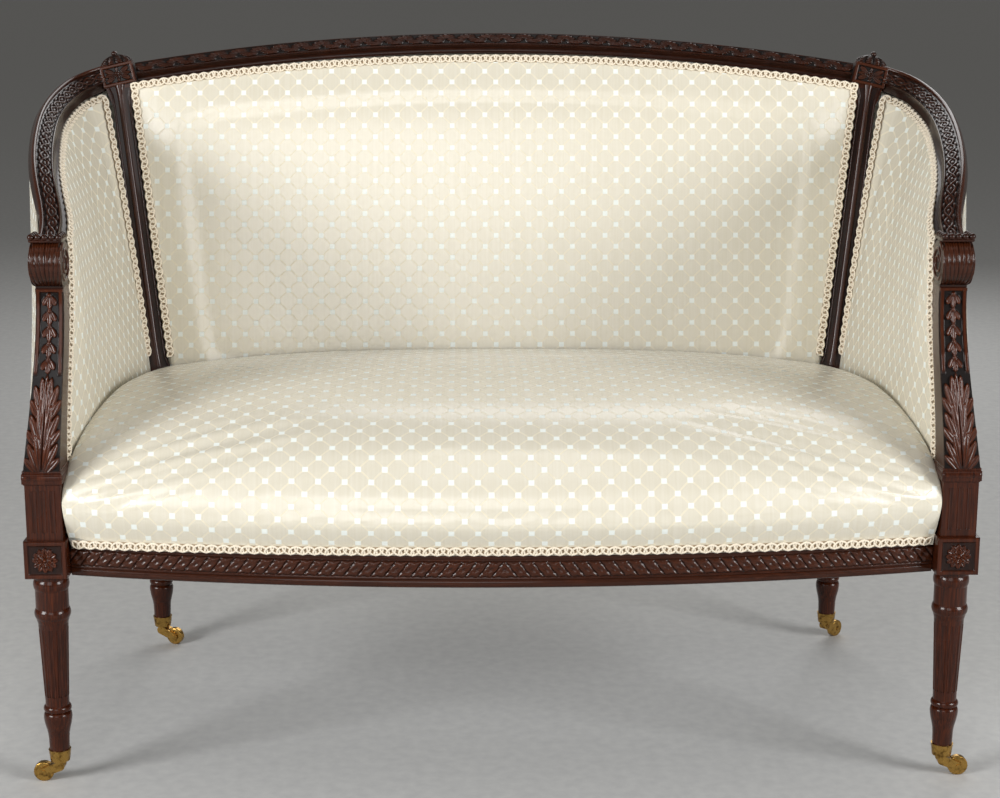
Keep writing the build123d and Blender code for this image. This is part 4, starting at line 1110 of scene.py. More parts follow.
@dataclass
class CrestRail:
    """Arched top rail with a carved running leaf over a plain cove."""

    half_width: float = 520.0
    depth: float = 36.0
    stations: int = 900
    face_count: int = 45
    pitch: float = 30.0

    def build(self) -> Piece:
        """Sweep the crest's section along its arch, the leaves mirrored about the middle.

        Returns:
            The piece.
        """
        q = np.linspace(0, 1, self.face_count)
        band_slope = 6.5 - 4.2 * clamp(q / 0.5)
        bead = 0.8 + 2.0 * (1 - np.sqrt(clamp(1 - ((q - 0.545) / 0.045) ** 2)))
        cove_share = clamp((q - 0.59) / 0.33)
        cove = 2.6 + 5.2 * np.sin(cove_share * np.pi * 0.62)
        lip = 4.4 + 2.2 * (1 - np.sqrt(clamp(1 - ((q - 0.96) / 0.04) ** 2)))
        depth = np.where(q < 0.5, band_slope, np.where(q < 0.59, bead, np.where(q < 0.92, cove, lip)))
        rest_q = np.array([1.0, 1.0, 0.9, 0.1, 0.0, 0.0, 0.0])
        rest_d = np.array([14.0, 34.0, self.depth, self.depth, 34.0, 20.0, 8.0])
        shares = np.concatenate([q, rest_q, q[:1]])
        depths = np.concatenate([depth, rest_d, depth[:1]])
        last = len(shares) - 1
        head = np.array([0.0, STANCE.stile_y(STANCE.crest_top), STANCE.crest_top])
        centre = head - STANCE.back_up * STANCE.crest_radius

        def carve(u: Array, v: Array) -> Triple:
            """Points, painted shade and painted highlight of the carved crest."""
            x = (2 * u - 1) * self.half_width
            angle = np.arcsin(x / STANCE.crest_radius)
            at = np.rint(v * last).astype(int)
            share, front = shares[at], at < self.face_count
            band = (share < 0.5) & (share > 0.03) & front
            fade = clamp((0.5 - share) / 0.04) * clamp((share - 0.03) / 0.04)
            leaves = running_leaf(np.abs(x), (0.265 - share) * STANCE.crest_height, self.pitch, 3.0)
            relief = np.where(band, leaves * fade, 0.0)
            # Painted shade in the leaves' hollows and a little in the cove, with waxed finish, and a painted
            # highlight on the leaves' tops, with worn polish
            wax_and_shade = np.where(band, 1 - relief / 2.2, np.where((share > 0.62) & front, 0.2, 0.0))
            wear_and_highlight = np.where(band, relief / 14, 0.0)
            radius = STANCE.crest_radius - share * STANCE.crest_height
            out = np.outer(np.cos(angle), STANCE.back_up) + np.outer(np.sin(angle), [1.0, 0.0, 0.0])
            return centre + out * radius[:, None] - np.outer(depths[at] - relief, STANCE.back_normal), wax_and_shade, wear_and_highlight

        return add_carved("crest_rail_carved", self.stations, last, carve, merge=SEAM)

    def dress(self, shop: Workshop) -> None:
        """Finish the crest rail."""
        finish_piece(self.build(), shop.along, "mahogany", "crest_rail")


@dataclass
class ArmSupport:
    """Swept arm support with an acanthus leaf below a chain of husks, and the scroll hand on top."""

    foot_z: float = 402.0
    top_z: float = 614.0
    foot_width: float = 43.5
    foot_depth: float = 46.0
    top_width: float = 33.0
    sweep: float = 46.0
    lean_in: float = 9.0
    leaf_top: float = 512.0
    scroll_radius: float = 30.0
    scroll_setback: float = 38.0
    core_radius: float = 27.4
    core_width: float = 36.0
    # Degrees round the scroll where its leaf starts, and how far round it goes
    leaf_start: float = 118.0
    leaf_turn: float = 226.0
    husks: int = 5
    husk_top: float = 607.0
    husk_pitch: float = 18.6
    bead_gap: float = 8.2
    bead_radius: float = 4.2
    collar: tuple[float, float, float] = (39.0, 36.0, 5.5)

    def section(self, z: Array) -> tuple[Array, Array, Array, Array]:
        """Middle x, middle y, width and depth of the support at a height.

        Args:
            z: Heights.

        Returns:
            The four measures at each height.
        """
        rise = (z - self.foot_z) / (self.top_z - self.foot_z)
        ease = rise * rise * (3 - 2 * rise)
        taper = rise * (2 - rise)
        width = self.foot_width + (self.top_width - self.foot_width) * taper
        depth = self.foot_depth + (self.top_width - self.foot_depth) * taper
        return STANCE.front_x - self.lean_in * taper, STANCE.behind(0) + self.sweep * ease, width, depth

    def rear_y(self, z: Array) -> Array:
        """Y of the back of the support, and of the scroll above it, at a height.

        Args:
            z: Heights.

        Returns:
            Places in millimetres.
        """
        _, y, _, depth = self.section(np.clip(z, self.foot_z, self.top_z))
        rise = z - self.top_z - self.scroll_radius
        drum = STANCE.behind(self.scroll_setback) + np.sqrt(np.maximum(self.core_radius**2 - rise**2, 0))
        return np.where(np.abs(rise) < self.core_radius, np.maximum(y + depth / 2, drum), y + depth / 2)

    def outer_x(self, z: Array) -> Array:
        """Distance of the support's outer side from the centre line at a height."""
        x, _, width, _ = self.section(np.clip(z, self.foot_z, self.top_z))
        return x + width / 2

    def carving(self, x: Array, z: Array, half: Array) -> Array:
        """Height of the front's carving: leaf, then husks in a sunk panel between raised edges.

        Args:
            x: Distance from the middle of the front.
            z: Heights.
            half: Half the support's width at each height.

        Returns:
            Heights of the relief.
        """
        leaf = leaf_pairs(x, z, petal(x, z, (0.0, self.foot_z - 6), (0.0, self.leaf_top + 3), 5.0, 4.6, 0.5), (
            (1.5, 396, 20.5, 419, 4.6, 3.6), (1.5, 398, 17.5, 436, 4.8, 4.2), (1.0, 400, 8.5, 446, 4.6, 4.6),
            (2.0, 424, 20.5, 452, 4.8, 4.2), (2.0, 428, 16.5, 469, 5.0, 4.8), (1.0, 432, 7.5, 480, 4.6, 5.0),
            (2.0, 456, 18.0, 486, 5.0, 4.6), (2.0, 460, 13.5, 502, 5.0, 5.0), (1.0, 464, 5.5, 511, 4.6, 5.2),
        ))
        husks = np.zeros_like(x)
        for index in range(self.husks):
            top = self.husk_top - self.husk_pitch * index
            for way, reach in ((0, 0.0), (-1, 7.4), (1, 7.4)):
                drop = 18.0 if way == 0 else 13.0
                husks = np.maximum(husks, petal(x, z, (way * 1.0, top), (way * reach, top - drop), 3.9, 3.8, 0.2))
            bead = np.sqrt(clamp(1 - (x**2 + (z - top + 1.0) ** 2) / 9.0))
            husks = np.maximum(husks, 3.2 * bead)
        upper = clamp((z - self.leaf_top) / 5.0)
        edge = clamp((np.abs(x) - (half - 6.0)) / 1.2) * clamp((half - 0.6 - np.abs(x)) / 0.9)
        panel = np.maximum(2.3 * edge, husks)
        top_edge = clamp((z - (self.top_z - 5.0)) / 1.2)
        return np.maximum(leaf * (1 - upper), upper * np.maximum(panel, 2.3 * top_edge))

    def build_front(self) -> Piece:
        """Carve the front of the right-hand support."""

        def carve(u: Array, v: Array) -> Triple:
            """Points, painted shade and painted highlight of the carved front."""
            z = self.foot_z + v * (self.top_z - self.foot_z)
            middle, y, width, depth = self.section(z)
            x = (u - 0.5) * (width + 0.6)
            height = self.carving(x, z, width / 2)
            rim = np.minimum.reduce([u, 1 - u, v, 1 - v]) < RIM
            # Painted shade in the carving's hollows and along the tucked rim, with waxed finish, and a painted
            # highlight on the carving's tops, with worn polish
            wax_and_shade = np.where(rim, 0.6, clamp(1.05 - height / 2.2))
            wear_and_highlight = clamp(height / 5.0 - 0.25)
            out = np.where(rim, -1.5, height + 0.4)
            return np.stack([middle + x, y - depth / 2 - out, z], axis=1), wax_and_shade, wear_and_highlight

        return add_carved("arm_support_carving_right", 68, 300, carve)

    def build_scroll(self) -> Piece:
        """Model the right-hand scroll: a drum wrapped by a leaf, with a spiral on each side.

        Returns:
            The piece.
        """
        centre = np.array([STANCE.hand_x, STANCE.behind(self.scroll_setback), self.top_z + self.scroll_radius])

        def carve(u: Array, v: Array) -> Triple:
            """Points, painted shade and painted highlight of the leaf-wrapped drum, from the top of the hand round to
            its underside.
            """
            climb = self.leaf_start - self.leaf_turn * v
            turn = np.radians(climb)
            x = (2 * u - 1) * self.core_width / 2
            # Degrees round the drum become millimetres along it
            run = climb * math.radians(self.scroll_radius)
            leaf = leaf_pairs(x, run, petal(x, run, (0.0, -62.0), (0.0, 60.0), 4.6, 4.0, 0.4), (
                (2.0, -62, 7.5, 50, 4.2, 3.8), (5.0, -60, 13.5, 44, 4.6, 3.8), (9.0, -58, 18.5, 30, 4.6, 3.6),
                (12.0, -56, 19.0, -4, 4.0, 3.2), (1.0, 18, 11.0, 60, 3.6, 4.2), (5.0, 12, 17.5, 52, 3.6, 4.0),
            ))
            rim = np.minimum(u, 1 - u) < RIM
            # Painted shade between the leaves and along the tucked rim, with waxed finish, and a painted highlight on
            # the leaves' tops, with worn polish
            wax_and_shade = np.where(rim, 0.5, clamp(1.0 - leaf / 2.0))
            wear_and_highlight = clamp(leaf / 5.0 - 0.3)
            radius = self.scroll_radius - 3.0 + np.where(rim, -1.5, leaf)
            barrel = 1 + 0.10 * np.cos(turn) ** 2
            around = np.stack([x * barrel, -radius * np.cos(turn), radius * np.sin(turn)], axis=1)
            return centre + around, wax_and_shade, wear_and_highlight

        drum = add_carved("scroll_drum", 56, 120, carve)
        pieces = [drum, self.core(centre), self.neck()]
        for way in (-1, 1):
            pieces.append(self.spiral(centre + np.array([way * 18.2, 0, 0])))
        return join("scroll_hand_right", pieces)

    def core(self, centre: Array) -> Piece:
        """Turn the scroll's core, which carries the leaf and the spirals.

        Args:
            centre: Middle of the scroll.

        Returns:
            The core.
        """
        deselect()
        bpy.ops.mesh.primitive_cylinder_add(
            vertices=72, radius=self.core_radius * MM, depth=self.core_width * MM, location=Vector(centre * MM),
            rotation=(0.0, math.pi / 2, 0.0))
        return self.eased(0.3)

    def neck(self) -> Piece:
        """Shape the square neck between the support's top and the scroll.

        Returns:
            The piece.
        """
        middle = Vector((STANCE.hand_x, STANCE.behind(self.sweep), self.top_z + self.scroll_radius / 2)) * MM
        deselect()
        size = Vector((self.top_width, self.top_width, self.scroll_radius + 2.0)) * MM
        bpy.ops.mesh.primitive_cube_add(size=1.0, location=middle, scale=size)
        return self.eased(0.2)

    @staticmethod
    def eased(wax_and_shade_dark: float) -> Piece:
        """Apply the new piece's place, round its edges and darken it all over with painted shade and waxed finish.

        Args:
            wax_and_shade_dark: Share of the darkening all over it, partly painted shade and partly waxed finish.

        Returns:
            The piece.
        """
        obj = settle(edge=1.2)
        bpy.ops.object.shade_smooth_by_angle(angle=math.radians(40))
        # Painted shade, with waxed finish, laid evenly over the scroll's core and neck
        set_share(obj, "wax_and_shade", np.full(len(obj.data.vertices), wax_and_shade_dark))
        set_share(obj, "wear_and_highlight", np.zeros(len(obj.data.vertices)))
        return obj

    @staticmethod
    def spiral(centre: Array) -> Piece:
        """Raise a spiral ridge on a side of the scroll.

        Args:
            centre: Middle of the spiral.

        Returns:
            The ridge.
        """
        turns = np.linspace(0, 4.4 * math.pi, 90)

        def surface(u: Array, v: Array) -> Array:
            """Points of a tapering round ridge."""
            at = u * turns[-1]
            radius = 4.5 + 20.5 * u
            ring = 2 * math.pi * v
            thick = 1.4 + 1.2 * u
            out = radius + thick * np.cos(ring)
            return centre + np.stack([1.6 * np.sin(ring), -out * np.cos(at), out * np.sin(at)], axis=1)

        obj, u, _ = add_grid("scroll_spiral", len(turns), 8, surface)
        # Slight painted shade, and a painted highlight with worn polish along the ridge
        set_share(obj, "wax_and_shade", np.full(len(u), 0.1))
        set_share(obj, "wear_and_highlight", np.full(len(u), 0.4))
        return tidy_mesh(obj, merge=SEAM, close=True, angle=60)

    def build_collar(self) -> Piece:
        """Model the square collar on the scroll, with a row of beads along its front and sides.

        Returns:
            The piece.
        """
        top = self.top_z + 2 * self.scroll_radius
        middle = np.array([STANCE.hand_x, STANCE.behind(self.scroll_setback - 4.0), top - 1.0])
        deselect()
        bpy.ops.mesh.primitive_cube_add(size=1.0, location=Vector(middle * MM), scale=Vector(self.collar) * MM)
        pieces = [settle(edge=1.8)]
        spots = [((step - 2) * self.bead_gap, -16.0) for step in range(5)]
        spots += [(way * 2 * self.bead_gap, -7.6 + self.bead_gap * step) for way in (-1, 1) for step in range(3)]
        for x, y in spots:
            place = Vector(middle + np.array([x, y, 3.6])) * MM
            bpy.ops.mesh.primitive_uv_sphere_add(
                segments=12, ring_count=8, radius=self.bead_radius * MM, location=place)
            pieces.append(settle())
        obj = join("scroll_collar_right", pieces)
        bpy.ops.object.shade_smooth_by_angle(angle=math.radians(50))
        return obj

    def dress(self, shop: Workshop) -> None:
        """Finish the fronts, scrolls and collars of both supports."""
        finishes = ((self.build_front(), shop.upright), (self.build_scroll(), shop.along),
                    (self.build_collar(), shop.along))
        for right, finish in finishes:
            finish_pair(right, finish, "mahogany")


@dataclass
class LegBlock:
    """Square head of a front leg: a sunk panel with a flower, and a rounded cap above the fluted post."""

    width: float = 51.0
    height: float = 47.0
    front: float = 26.0
    border: float = 6.5
    flower: float = 15.5
    # Width, foot and top of each moulding of the cap
    cap_rings: tuple = ((50.0, 389.5, 398.5), (46.5, 385.0, 389.0), (47.0, 399.0, 403.5))

    def build_panel(self) -> Piece:
        """Carve the panel and flower on the right-hand block's front.

        Returns:
            The piece.
        """
        middle_z = STANCE.rail_bottom + self.height / 2

        def carve(u: Array, v: Array) -> Triple:
            """Points, painted shade and painted highlight of the carved panel."""
            x, z = (u - 0.5) * self.width, (v - 0.5) * self.height
            inset = np.minimum(self.width / 2 - np.abs(x), self.height / 2 - np.abs(z))
            frame_height = 2.0 * clamp((self.border - inset) / 1.6) * clamp((inset + 0.4) / 1.2)
            height = np.maximum(frame_height, rosette(x, z, self.flower, 12, 4.6))
            rim = inset < 1e-3
            # Painted shade in the sunk panel round the flower, with waxed finish, and a painted highlight on the
            # petals' tops, with worn polish
            wax_and_shade = np.where(inset < self.border - 1.6, 0.0, clamp(0.75 - height / 3))
            wear_and_highlight = clamp(height / 5.0 - 0.3)
            out = np.where(rim, -1.2, height + 0.3)
            points = np.stack([STANCE.front_x + x, STANCE.front_y - self.front - out, middle_z + z], axis=1)
            return points, wax_and_shade, wear_and_highlight

        return add_carved("leg_block_flower_right", 96, 90, carve)

    def build_cap(self) -> Piece:
        """Model the rounded cap moulding and the bead under it.

        Returns:
            The piece.
        """
        pieces = []
        for wide, low, high in self.cap_rings:
            deselect()
            bpy.ops.mesh.primitive_cube_add(
                size=1.0, location=(STANCE.front_x * MM, STANCE.front_y * MM, (low + high) / 2 * MM),
                scale=(wide * MM, wide * MM, (high - low) * MM))
            pieces.append(settle(edge=(high - low) * 0.45, segments=5))
        obj = join("leg_cap_moulding_right", pieces)
        bpy.ops.object.shade_smooth_by_angle(angle=math.radians(40))
        return obj

    def dress(self, shop: Workshop) -> None:
        """Finish both leg heads."""
        for right in (self.build_panel(), self.build_cap()):
            finish_pair(right, shop.upright, "mahogany")


@dataclass
class Stile:
    """Front of a back post: a reed between flats, with a carved tablet and a leafy finial at its head."""

    width: float = 26.0
    foot_z: float = 424.0
    flare: float = 30.0
    tablet_width: float = 48.0
    tablet_height: float = 31.0
    tilt: float = 13.0
    proud: float = 2.0
    ball_radius: float = 4.2

    def tablet_frame(self) -> Triple:
        """Place the right-hand tablet.

        Returns:
            Middle of its face, and its ways across and up.
        """
        tilt = math.radians(self.tilt)
        side = np.array([math.cos(tilt), 0, 0]) - STANCE.back_up * math.sin(tilt)
        up = STANCE.back_up * math.cos(tilt) + np.array([math.sin(tilt), 0, 0])
        z = STANCE.tablet_z
        middle = np.array([STANCE.stile_x(z), STANCE.stile_y(z), z]) + STANCE.back_normal * self.proud
        return middle, side, up

    def build_reed(self) -> Piece:
        """Model the moulded front of the right-hand stile.

        Returns:
            The piece.
        """
        head_z = STANCE.tablet_z - self.tablet_height / 2 + 4.0

        def carve(u: Array, v: Array) -> Triple:
            """Points, painted shade and painted highlight of the reeded front."""
            z = self.foot_z + v * (head_z - self.foot_z)
            flare = clamp(1 - (head_z - z) / self.flare) ** 2
            foot = clamp(1 - (z - self.foot_z) / 26.0) ** 2
            width = self.width + (self.tablet_width - 5 - self.width) * flare + 10.0 * foot
            x = (u - 0.5) * width
            reed_half = 4.6 * width / self.width
            reed = 4.2 * np.sqrt(clamp(1 - (x / reed_half) ** 2))
            border = width / 2 - np.abs(x)
            bead = 1.8 * np.sqrt(clamp(1 - ((border - 1.8) / 1.6) ** 2))
            height = np.maximum(reed, bead)
            rim = np.minimum.reduce([u, 1 - u]) < RIM
            # Painted shade on the flats beside the reed, and a faint painted highlight along the reed
            wax_and_shade = np.where(height < 0.6, 0.55, 0.0)
            wear_and_highlight = clamp(reed / 30)
            out = np.where(rim, -2.5, height + 0.3)
            base = np.stack([STANCE.stile_x(z) + x, STANCE.stile_y(z), z], axis=1)
            return base + np.outer(out, STANCE.back_normal), wax_and_shade, wear_and_highlight

        return add_carved("stile_reed_right", 44, 120, carve)

    def build_tablet(self) -> Piece:
        """Carve the right-hand tablet: a flat border round a sunk panel of leaves.

        Returns:
            The piece.
        """
        middle, side, up = self.tablet_frame()

        def carve(u: Array, v: Array) -> Triple:
            """Points, painted shade and painted highlight of the tablet's front."""
            x, y = (u - 0.5) * self.tablet_width, (v - 0.5) * self.tablet_height
            inset = np.minimum(self.tablet_width / 2 - np.abs(x), self.tablet_height / 2 - np.abs(y))
            border = 2.6 * clamp((5.2 - inset) / 1.2) * clamp((inset + 0.6) / 1.4)
            leaves = rosette(x, y, 5.5, 6, 3.0)
            leaves = leaf_pairs(x, y, leaves, (
                (2, 1.0, 17, 8.5, 3.8, 2.8), (2, -1.0, 17, -8.5, 3.8, 2.8), (4, 0.0, 18.5, 0.0, 2.6, 2.6),
                (0.0, 3, 0.0, 10, 2.6, 2.6), (0.0, -3, 0.0, -10, 2.6, 2.6),
            ))
            height = np.where(inset > 5.0, np.maximum(border, leaves), border)
            rim = inset < 1e-3
            # Painted shade in the sunk panel between the leaves, with waxed finish, and a painted highlight on the
            # flat border and the leaves' tops, with worn polish
            wax_and_shade = np.where(inset > 5.0, clamp(1 - height / 2.0), 0.0)
            wear_and_highlight = np.where(inset < 4.2, 0.35, height / 8)
            out = np.where(rim, -1.5, height + 0.3)
            return middle + np.outer(x, side) + np.outer(y, up) + np.outer(out, STANCE.back_normal), wax_and_shade, wear_and_highlight

        return add_carved("tablet_carving_right", 92, 60, carve)

    def build_finial(self) -> Piece:
        """Model the right-hand finial: a dome of leaves under a small ball.

        Returns:
            The piece.
        """
        middle, side, up = self.tablet_frame()
        base = middle + up * (self.tablet_height / 2 + 0.5) - STANCE.back_normal * 13.0

        def carve(u: Array, v: Array) -> Triple:
            """Points, painted shade and painted highlight of the leafy dome."""
            around = 2 * math.pi * u
            lift = v * math.pi / 2
            leaf = np.abs(np.cos(5 * around)) ** 0.6 * (1 - v) ** 0.35
            scale = np.abs(np.sin(7.5 * math.pi * v**0.9)) ** 0.7
            relief = 0.92 + 0.14 * leaf + 0.09 * scale * leaf
            # Painted shade between the leaves, with waxed finish, and a painted highlight on the leaves' ridges, with
            # worn polish
            wax_and_shade = clamp(1.2 - 1.3 * leaf * (0.4 + 0.6 * scale))
            wear_and_highlight = clamp(leaf * scale - 0.55)
            x = 21.0 * relief * np.cos(lift) * np.cos(around)
            y = 12.5 * relief * np.cos(lift) * np.sin(around)
            rise = 14.5 * np.sin(lift) * (0.9 + 0.1 * relief)
            return base + np.outer(x, side) + np.outer(y, -STANCE.back_normal) + np.outer(rise, up), wax_and_shade, wear_and_highlight

        dome = add_carved("finial_dome", 120, 36, carve, merge=SEAM)
        deselect()
        tip = base + up * 16.0
        bpy.ops.mesh.primitive_uv_sphere_add(
            segments=20, ring_count=12, radius=self.ball_radius * MM, location=Vector(tip * MM))
        ball = settle()
        bpy.ops.object.shade_smooth()
        return join("finial_leaves_right", [dome, ball])

    def dress(self, shop: Workshop) -> None:
        """Finish both stiles, tablets and finials."""
        for right in (self.build_reed(), self.build_tablet()):
            finish_pair(right, shop.along, "mahogany")
        finish_pair(self.build_finial(), shop.along, "mahogany", "finial")


@dataclass
class FrontRailBand:
    """Moulded face of the bowed front rail: beads, a carved band of slanting blocks and a plain fillet."""

    foot: float = 268.5
    low: float = 281.5
    high: float = 301.5
    top: float = 313.0
    sink: float = 3.0
    pitch: float = 16.0
    half_width: float = 523.0
    depth: float = 22.0
    # Height of the middle and half height of the large and the small bead
    beads: tuple = ((273.4, 4.9), (280.0, 1.7))

    def profile(self, z: Array) -> Array:
        """How far the plain moulding stands out of the rail's face at a height.

        Args:
            z: Heights.

        Returns:
            Distances in millimetres.
        """
        large, small = (np.sqrt(clamp(1 - ((z - middle) / half) ** 2)) for middle, half in self.beads)
        fillet = np.where((z > self.high + 2.2) & (z < self.top), 0.6, -self.sink)
        return np.maximum.reduce([2.6 * large - 0.6, 1.6 * small - 0.4, fillet, np.full_like(z, -self.sink)])

    def build(self) -> Piece:
        """Carve the blocks, leaning to the middle from either end, between the mouldings.

        Returns:
            The piece.
        """
        face_z = np.concatenate([np.linspace(self.foot, self.low, 13),
                                 np.linspace(self.low + 0.5, self.high - 0.5, 22),
                                 np.linspace(self.high, self.top, 12)])
        count = len(face_z)

        def carve(u: Array, v: Array) -> Triple:
            """Points, painted shade and painted highlight of the moulded face, then its hidden back."""
            x = (2 * u - 1) * self.half_width
            at = np.rint(v * (count + 2)).astype(int)
            hidden = (at >= count) & (at < count + 2)
            z = np.where(at == count, self.top, np.where(at > count, self.foot, face_z[np.minimum(at, count - 1)]))
            inside = (z > self.low) & (z < self.high) & ~hidden
            climb = z - self.low
            tall = self.high - self.low
            slant = (np.abs(x) + climb * 0.75) % self.pitch
            edge = np.minimum(slant, self.pitch - slant)
            block = clamp(edge / 1.7) ** 0.6
            ends = clamp(np.minimum(climb, tall - climb) / 2.2) ** 0.6
            lobe = 0.75 + 0.25 * np.cos(4 * np.pi * climb / tall) * np.cos(2 * np.pi * slant / self.pitch)
            nick = np.exp(-(((slant - self.pitch / 2) / 0.9) ** 2)) * 0.5
            carved = np.where(inside, (3.4 * block * lobe - nick) * ends, 0.0)
            out = np.where(hidden, -self.depth, self.profile(z) + carved)
            # Painted shade in the carving's hollows and on the sunk faces, with waxed finish, and a painted highlight
            # on the blocks and, faintly, on the mouldings, with worn polish
            wax_and_shade = np.where(inside, clamp(1 - carved / 2.0), np.where(out < -1.5, 0.8, 0.0))
            wear_and_highlight = np.where(inside, clamp(carved / 9), 0.15)
            return np.stack([x, STANCE.bow_y(x) - out, z], axis=1), wax_and_shade, wear_and_highlight

        return add_carved("front_rail_carving", 1000, count + 2, carve, merge=SEAM)

    def dress(self, shop: Workshop) -> None:
        """Finish the band."""
        finish_piece(self.build(), shop.along, "mahogany")


@dataclass
class Seat:
    """Stuffed seat: bowed front roll, low crown and sides that drop beside the wings."""

    lip_z: float = 309.0
    waist_z: float = 358.0
    crown_z: float = 474.0
    front_sweep: float = 300.0
    overhang: float = 15.0
    lip_out: float = 2.0
    corner_half: float = 528.0
    rear_half: float = 485.0
    columns: int = 150
    rows: int = 140
    skirt: float = 0.2
    stretch: float = 5.0
    side_fall: float = 26.0
    back_fall: float = 22.0
    back_gap: float = 15.0
    side_sweep: float = 26.0
    bow_half: float = 522.0

    def half_width(self, depth: Array) -> Array:
        """Half the seat's width at a share of its depth."""
        return self.corner_half + (self.rear_half - self.corner_half) * depth**1.6

    def top_z(self, x_share: Array, depth: Array) -> Array:
        """Height of the crown before its edges roll over.

        Args:
            x_share: Shares of the half width.
            depth: Shares from front to back.

        Returns:
            Heights in millimetres.
        """
        fall_side = self.side_fall * np.abs(x_share) ** 3
        fall_back = self.back_fall * clamp((depth - 0.55) / 0.45) ** 1.6
        return self.crown_z - fall_side - fall_back

    def lip_drop(self, x_share: Array) -> Array:
        """How far the cover's lower edge hangs lower towards the corners."""
        return 6.0 * x_share**2

    @staticmethod
    def roll(distance: Array, radius: float, power: float = 2.3) -> Array:
        """Share of the full height at a distance in from an edge."""
        t = clamp(distance / radius)
        return (1 - (1 - t) ** power) ** (1 / power)

    def surface(self, u: Array, v: Array) -> Array:
        """Points of the seat: the front's skirt below its waist, then the roll and the top.

        Args:
            u: Shares of the width.
            v: Shares from the lip to the back.

        Returns:
            Points in millimetres.
        """
        a = np.clip(2 * u - 1, -1, 1)
        share = np.sign(a) * np.sin(np.abs(a) * np.pi / 2) ** 0.9
        top = clamp((v - self.skirt) / (1 - self.skirt))
        depth = top**1.7
        drop = clamp(1 - v / self.skirt)
        half = self.half_width(depth)
        x = share * half
        front_y = STANCE.bow_y(np.clip(x, -self.bow_half, self.bow_half)) - self.overhang
        back_y = STANCE.stile_y(430.0) - self.back_gap
        y = front_y + depth * (back_y - front_y)
        front_roll = self.roll(y - front_y, self.front_sweep, 2.1)
        side_roll = self.roll((1 - np.abs(share)) * half, self.side_sweep)
        crown = self.top_z(share, depth)
        z = self.waist_z + (crown - self.waist_z) * np.minimum(front_roll, 1.0) * (0.8 + 0.2 * side_roll)
        z = z - drop * (self.waist_z - self.lip_z + self.lip_drop(share))
        bulge = clamp((1 - drop - 0.24) / 0.76)
        inward = (self.overhang - self.lip_out) * (1 - np.sin(bulge * np.pi / 2))
        y = y + np.where(v < self.skirt, inward, 0.0)
        return np.stack([x * (1 - 0.009 * drop), y, z], axis=1)

    def build(self) -> Piece:
        """Lay out the cover and its weave, then close it below.

        Returns:
            The piece.
        """
        obj, u, v = add_grid("seat_upholstery", self.columns, self.rows, self.surface)
        order = np.linspace(0, 1, 400)
        run = arc_length(self.surface(np.full(400, 0.5), order))
        set_weave(obj, read_points(obj)[:, 0], np.interp(v, order, run))
        inside = np.minimum.reduce([np.minimum(u, 1 - u) / 0.12, (1 - v) / 0.15, (v - 0.06) / 0.12])
        return plump(tidy_mesh(obj, close=True, angle=80), 1 - clamp(inside), self.stretch)

    def dress(self, shop: Workshop) -> None:
        """Finish the seat."""
        obj = finish_piece(self.build(), shop.silk, "trellis_silk", "seat_cover", "seat_stuffing", "seat_hessian")


@dataclass
class InsideBack:
    """Stuffed inside back between the stiles, under the crest."""

    foot: float = -60.0
    crown: float = 15.0
    gap: float = 1.0
    seam: float = 12.0
    stretch: float = 4.0
    wide: float = 1020.0
    tall: float = 500.0
    stile_half: float = 13.0

    def outline(self, u: Array, v: Array, margin: float = 0.0) -> tuple[Array, Array]:
        """Place across and up the rake for shares of the width and height.

        Args:
            u: Shares of the width.
            v: Shares of the height.
            margin: Distance in from the edge.

        Returns:
            Distances across and up.
        """
        share = 2 * u - 1
        head = STANCE.crest_under(share * self.wide / 2, self.gap + margin)
        rise = self.foot + v * (head - self.foot)
        z = STANCE.stile_foot_z + rise * math.cos(STANCE.rake)
        half = STANCE.stile_x(z) - self.stile_half - self.gap - margin
        return share * half, rise

    def place(self, x: Array, rise: Array, out: Array) -> Array:
        """Points of the back at a place across and up the rake, and out of its plane."""
        foot = np.array([0.0, STANCE.stile_y(STANCE.stile_foot_z), STANCE.stile_foot_z])
        return foot + np.outer(rise, STANCE.back_up) + np.outer(out, STANCE.back_normal) + np.outer(x, [1.0, 0, 0])

    def puff(self, u: Array, v: Array) -> Array:
        """How far the stuffing stands out: flat under the gimp, then crowned.

        Args:
            u: Shares of the width.
            v: Shares of the height.

        Returns:
            Distances in millimetres.
        """
        across = clamp((np.minimum(u, 1 - u) * self.wide - self.seam) / 150.0)
        up = clamp((np.minimum(v, 1 - v) * self.tall - self.seam) / 120.0)
        return 1.0 + self.crown * (1 - (1 - across) ** 2.4) * (1 - (1 - up) ** 2.4)

    def build(self) -> Piece:
        """Lay out the cover and its weave, with its edges turned back.

        Returns:
            The piece.
        """

        def surface(u: Array, v: Array) -> Array:
            """Points of the stuffed back."""
            x, rise = self.outline(u, v)
            rim = np.minimum.reduce([u, 1 - u, v, 1 - v]) < RIM
            return self.place(x, rise, np.where(rim, -9.0, self.puff(u, v)))

        obj, u, v = add_grid("inside_back_upholstery", 150, 90, surface)
        x, rise = self.outline(u, v)
        set_weave(obj, x, rise)
        inside = np.minimum(np.minimum(u, 1 - u) * self.wide, np.minimum(v, 1 - v) * self.tall) - self.seam - 6.0
        return plump(tidy_mesh(obj, close=True, angle=80), 1 - clamp(inside / 60.0), self.stretch)

    def dress(self, shop: Workshop) -> None:
        """Finish the inside back."""
        obj = finish_piece(self.build(), shop.silk, "trellis_silk", "back_pad", "back_hessian")


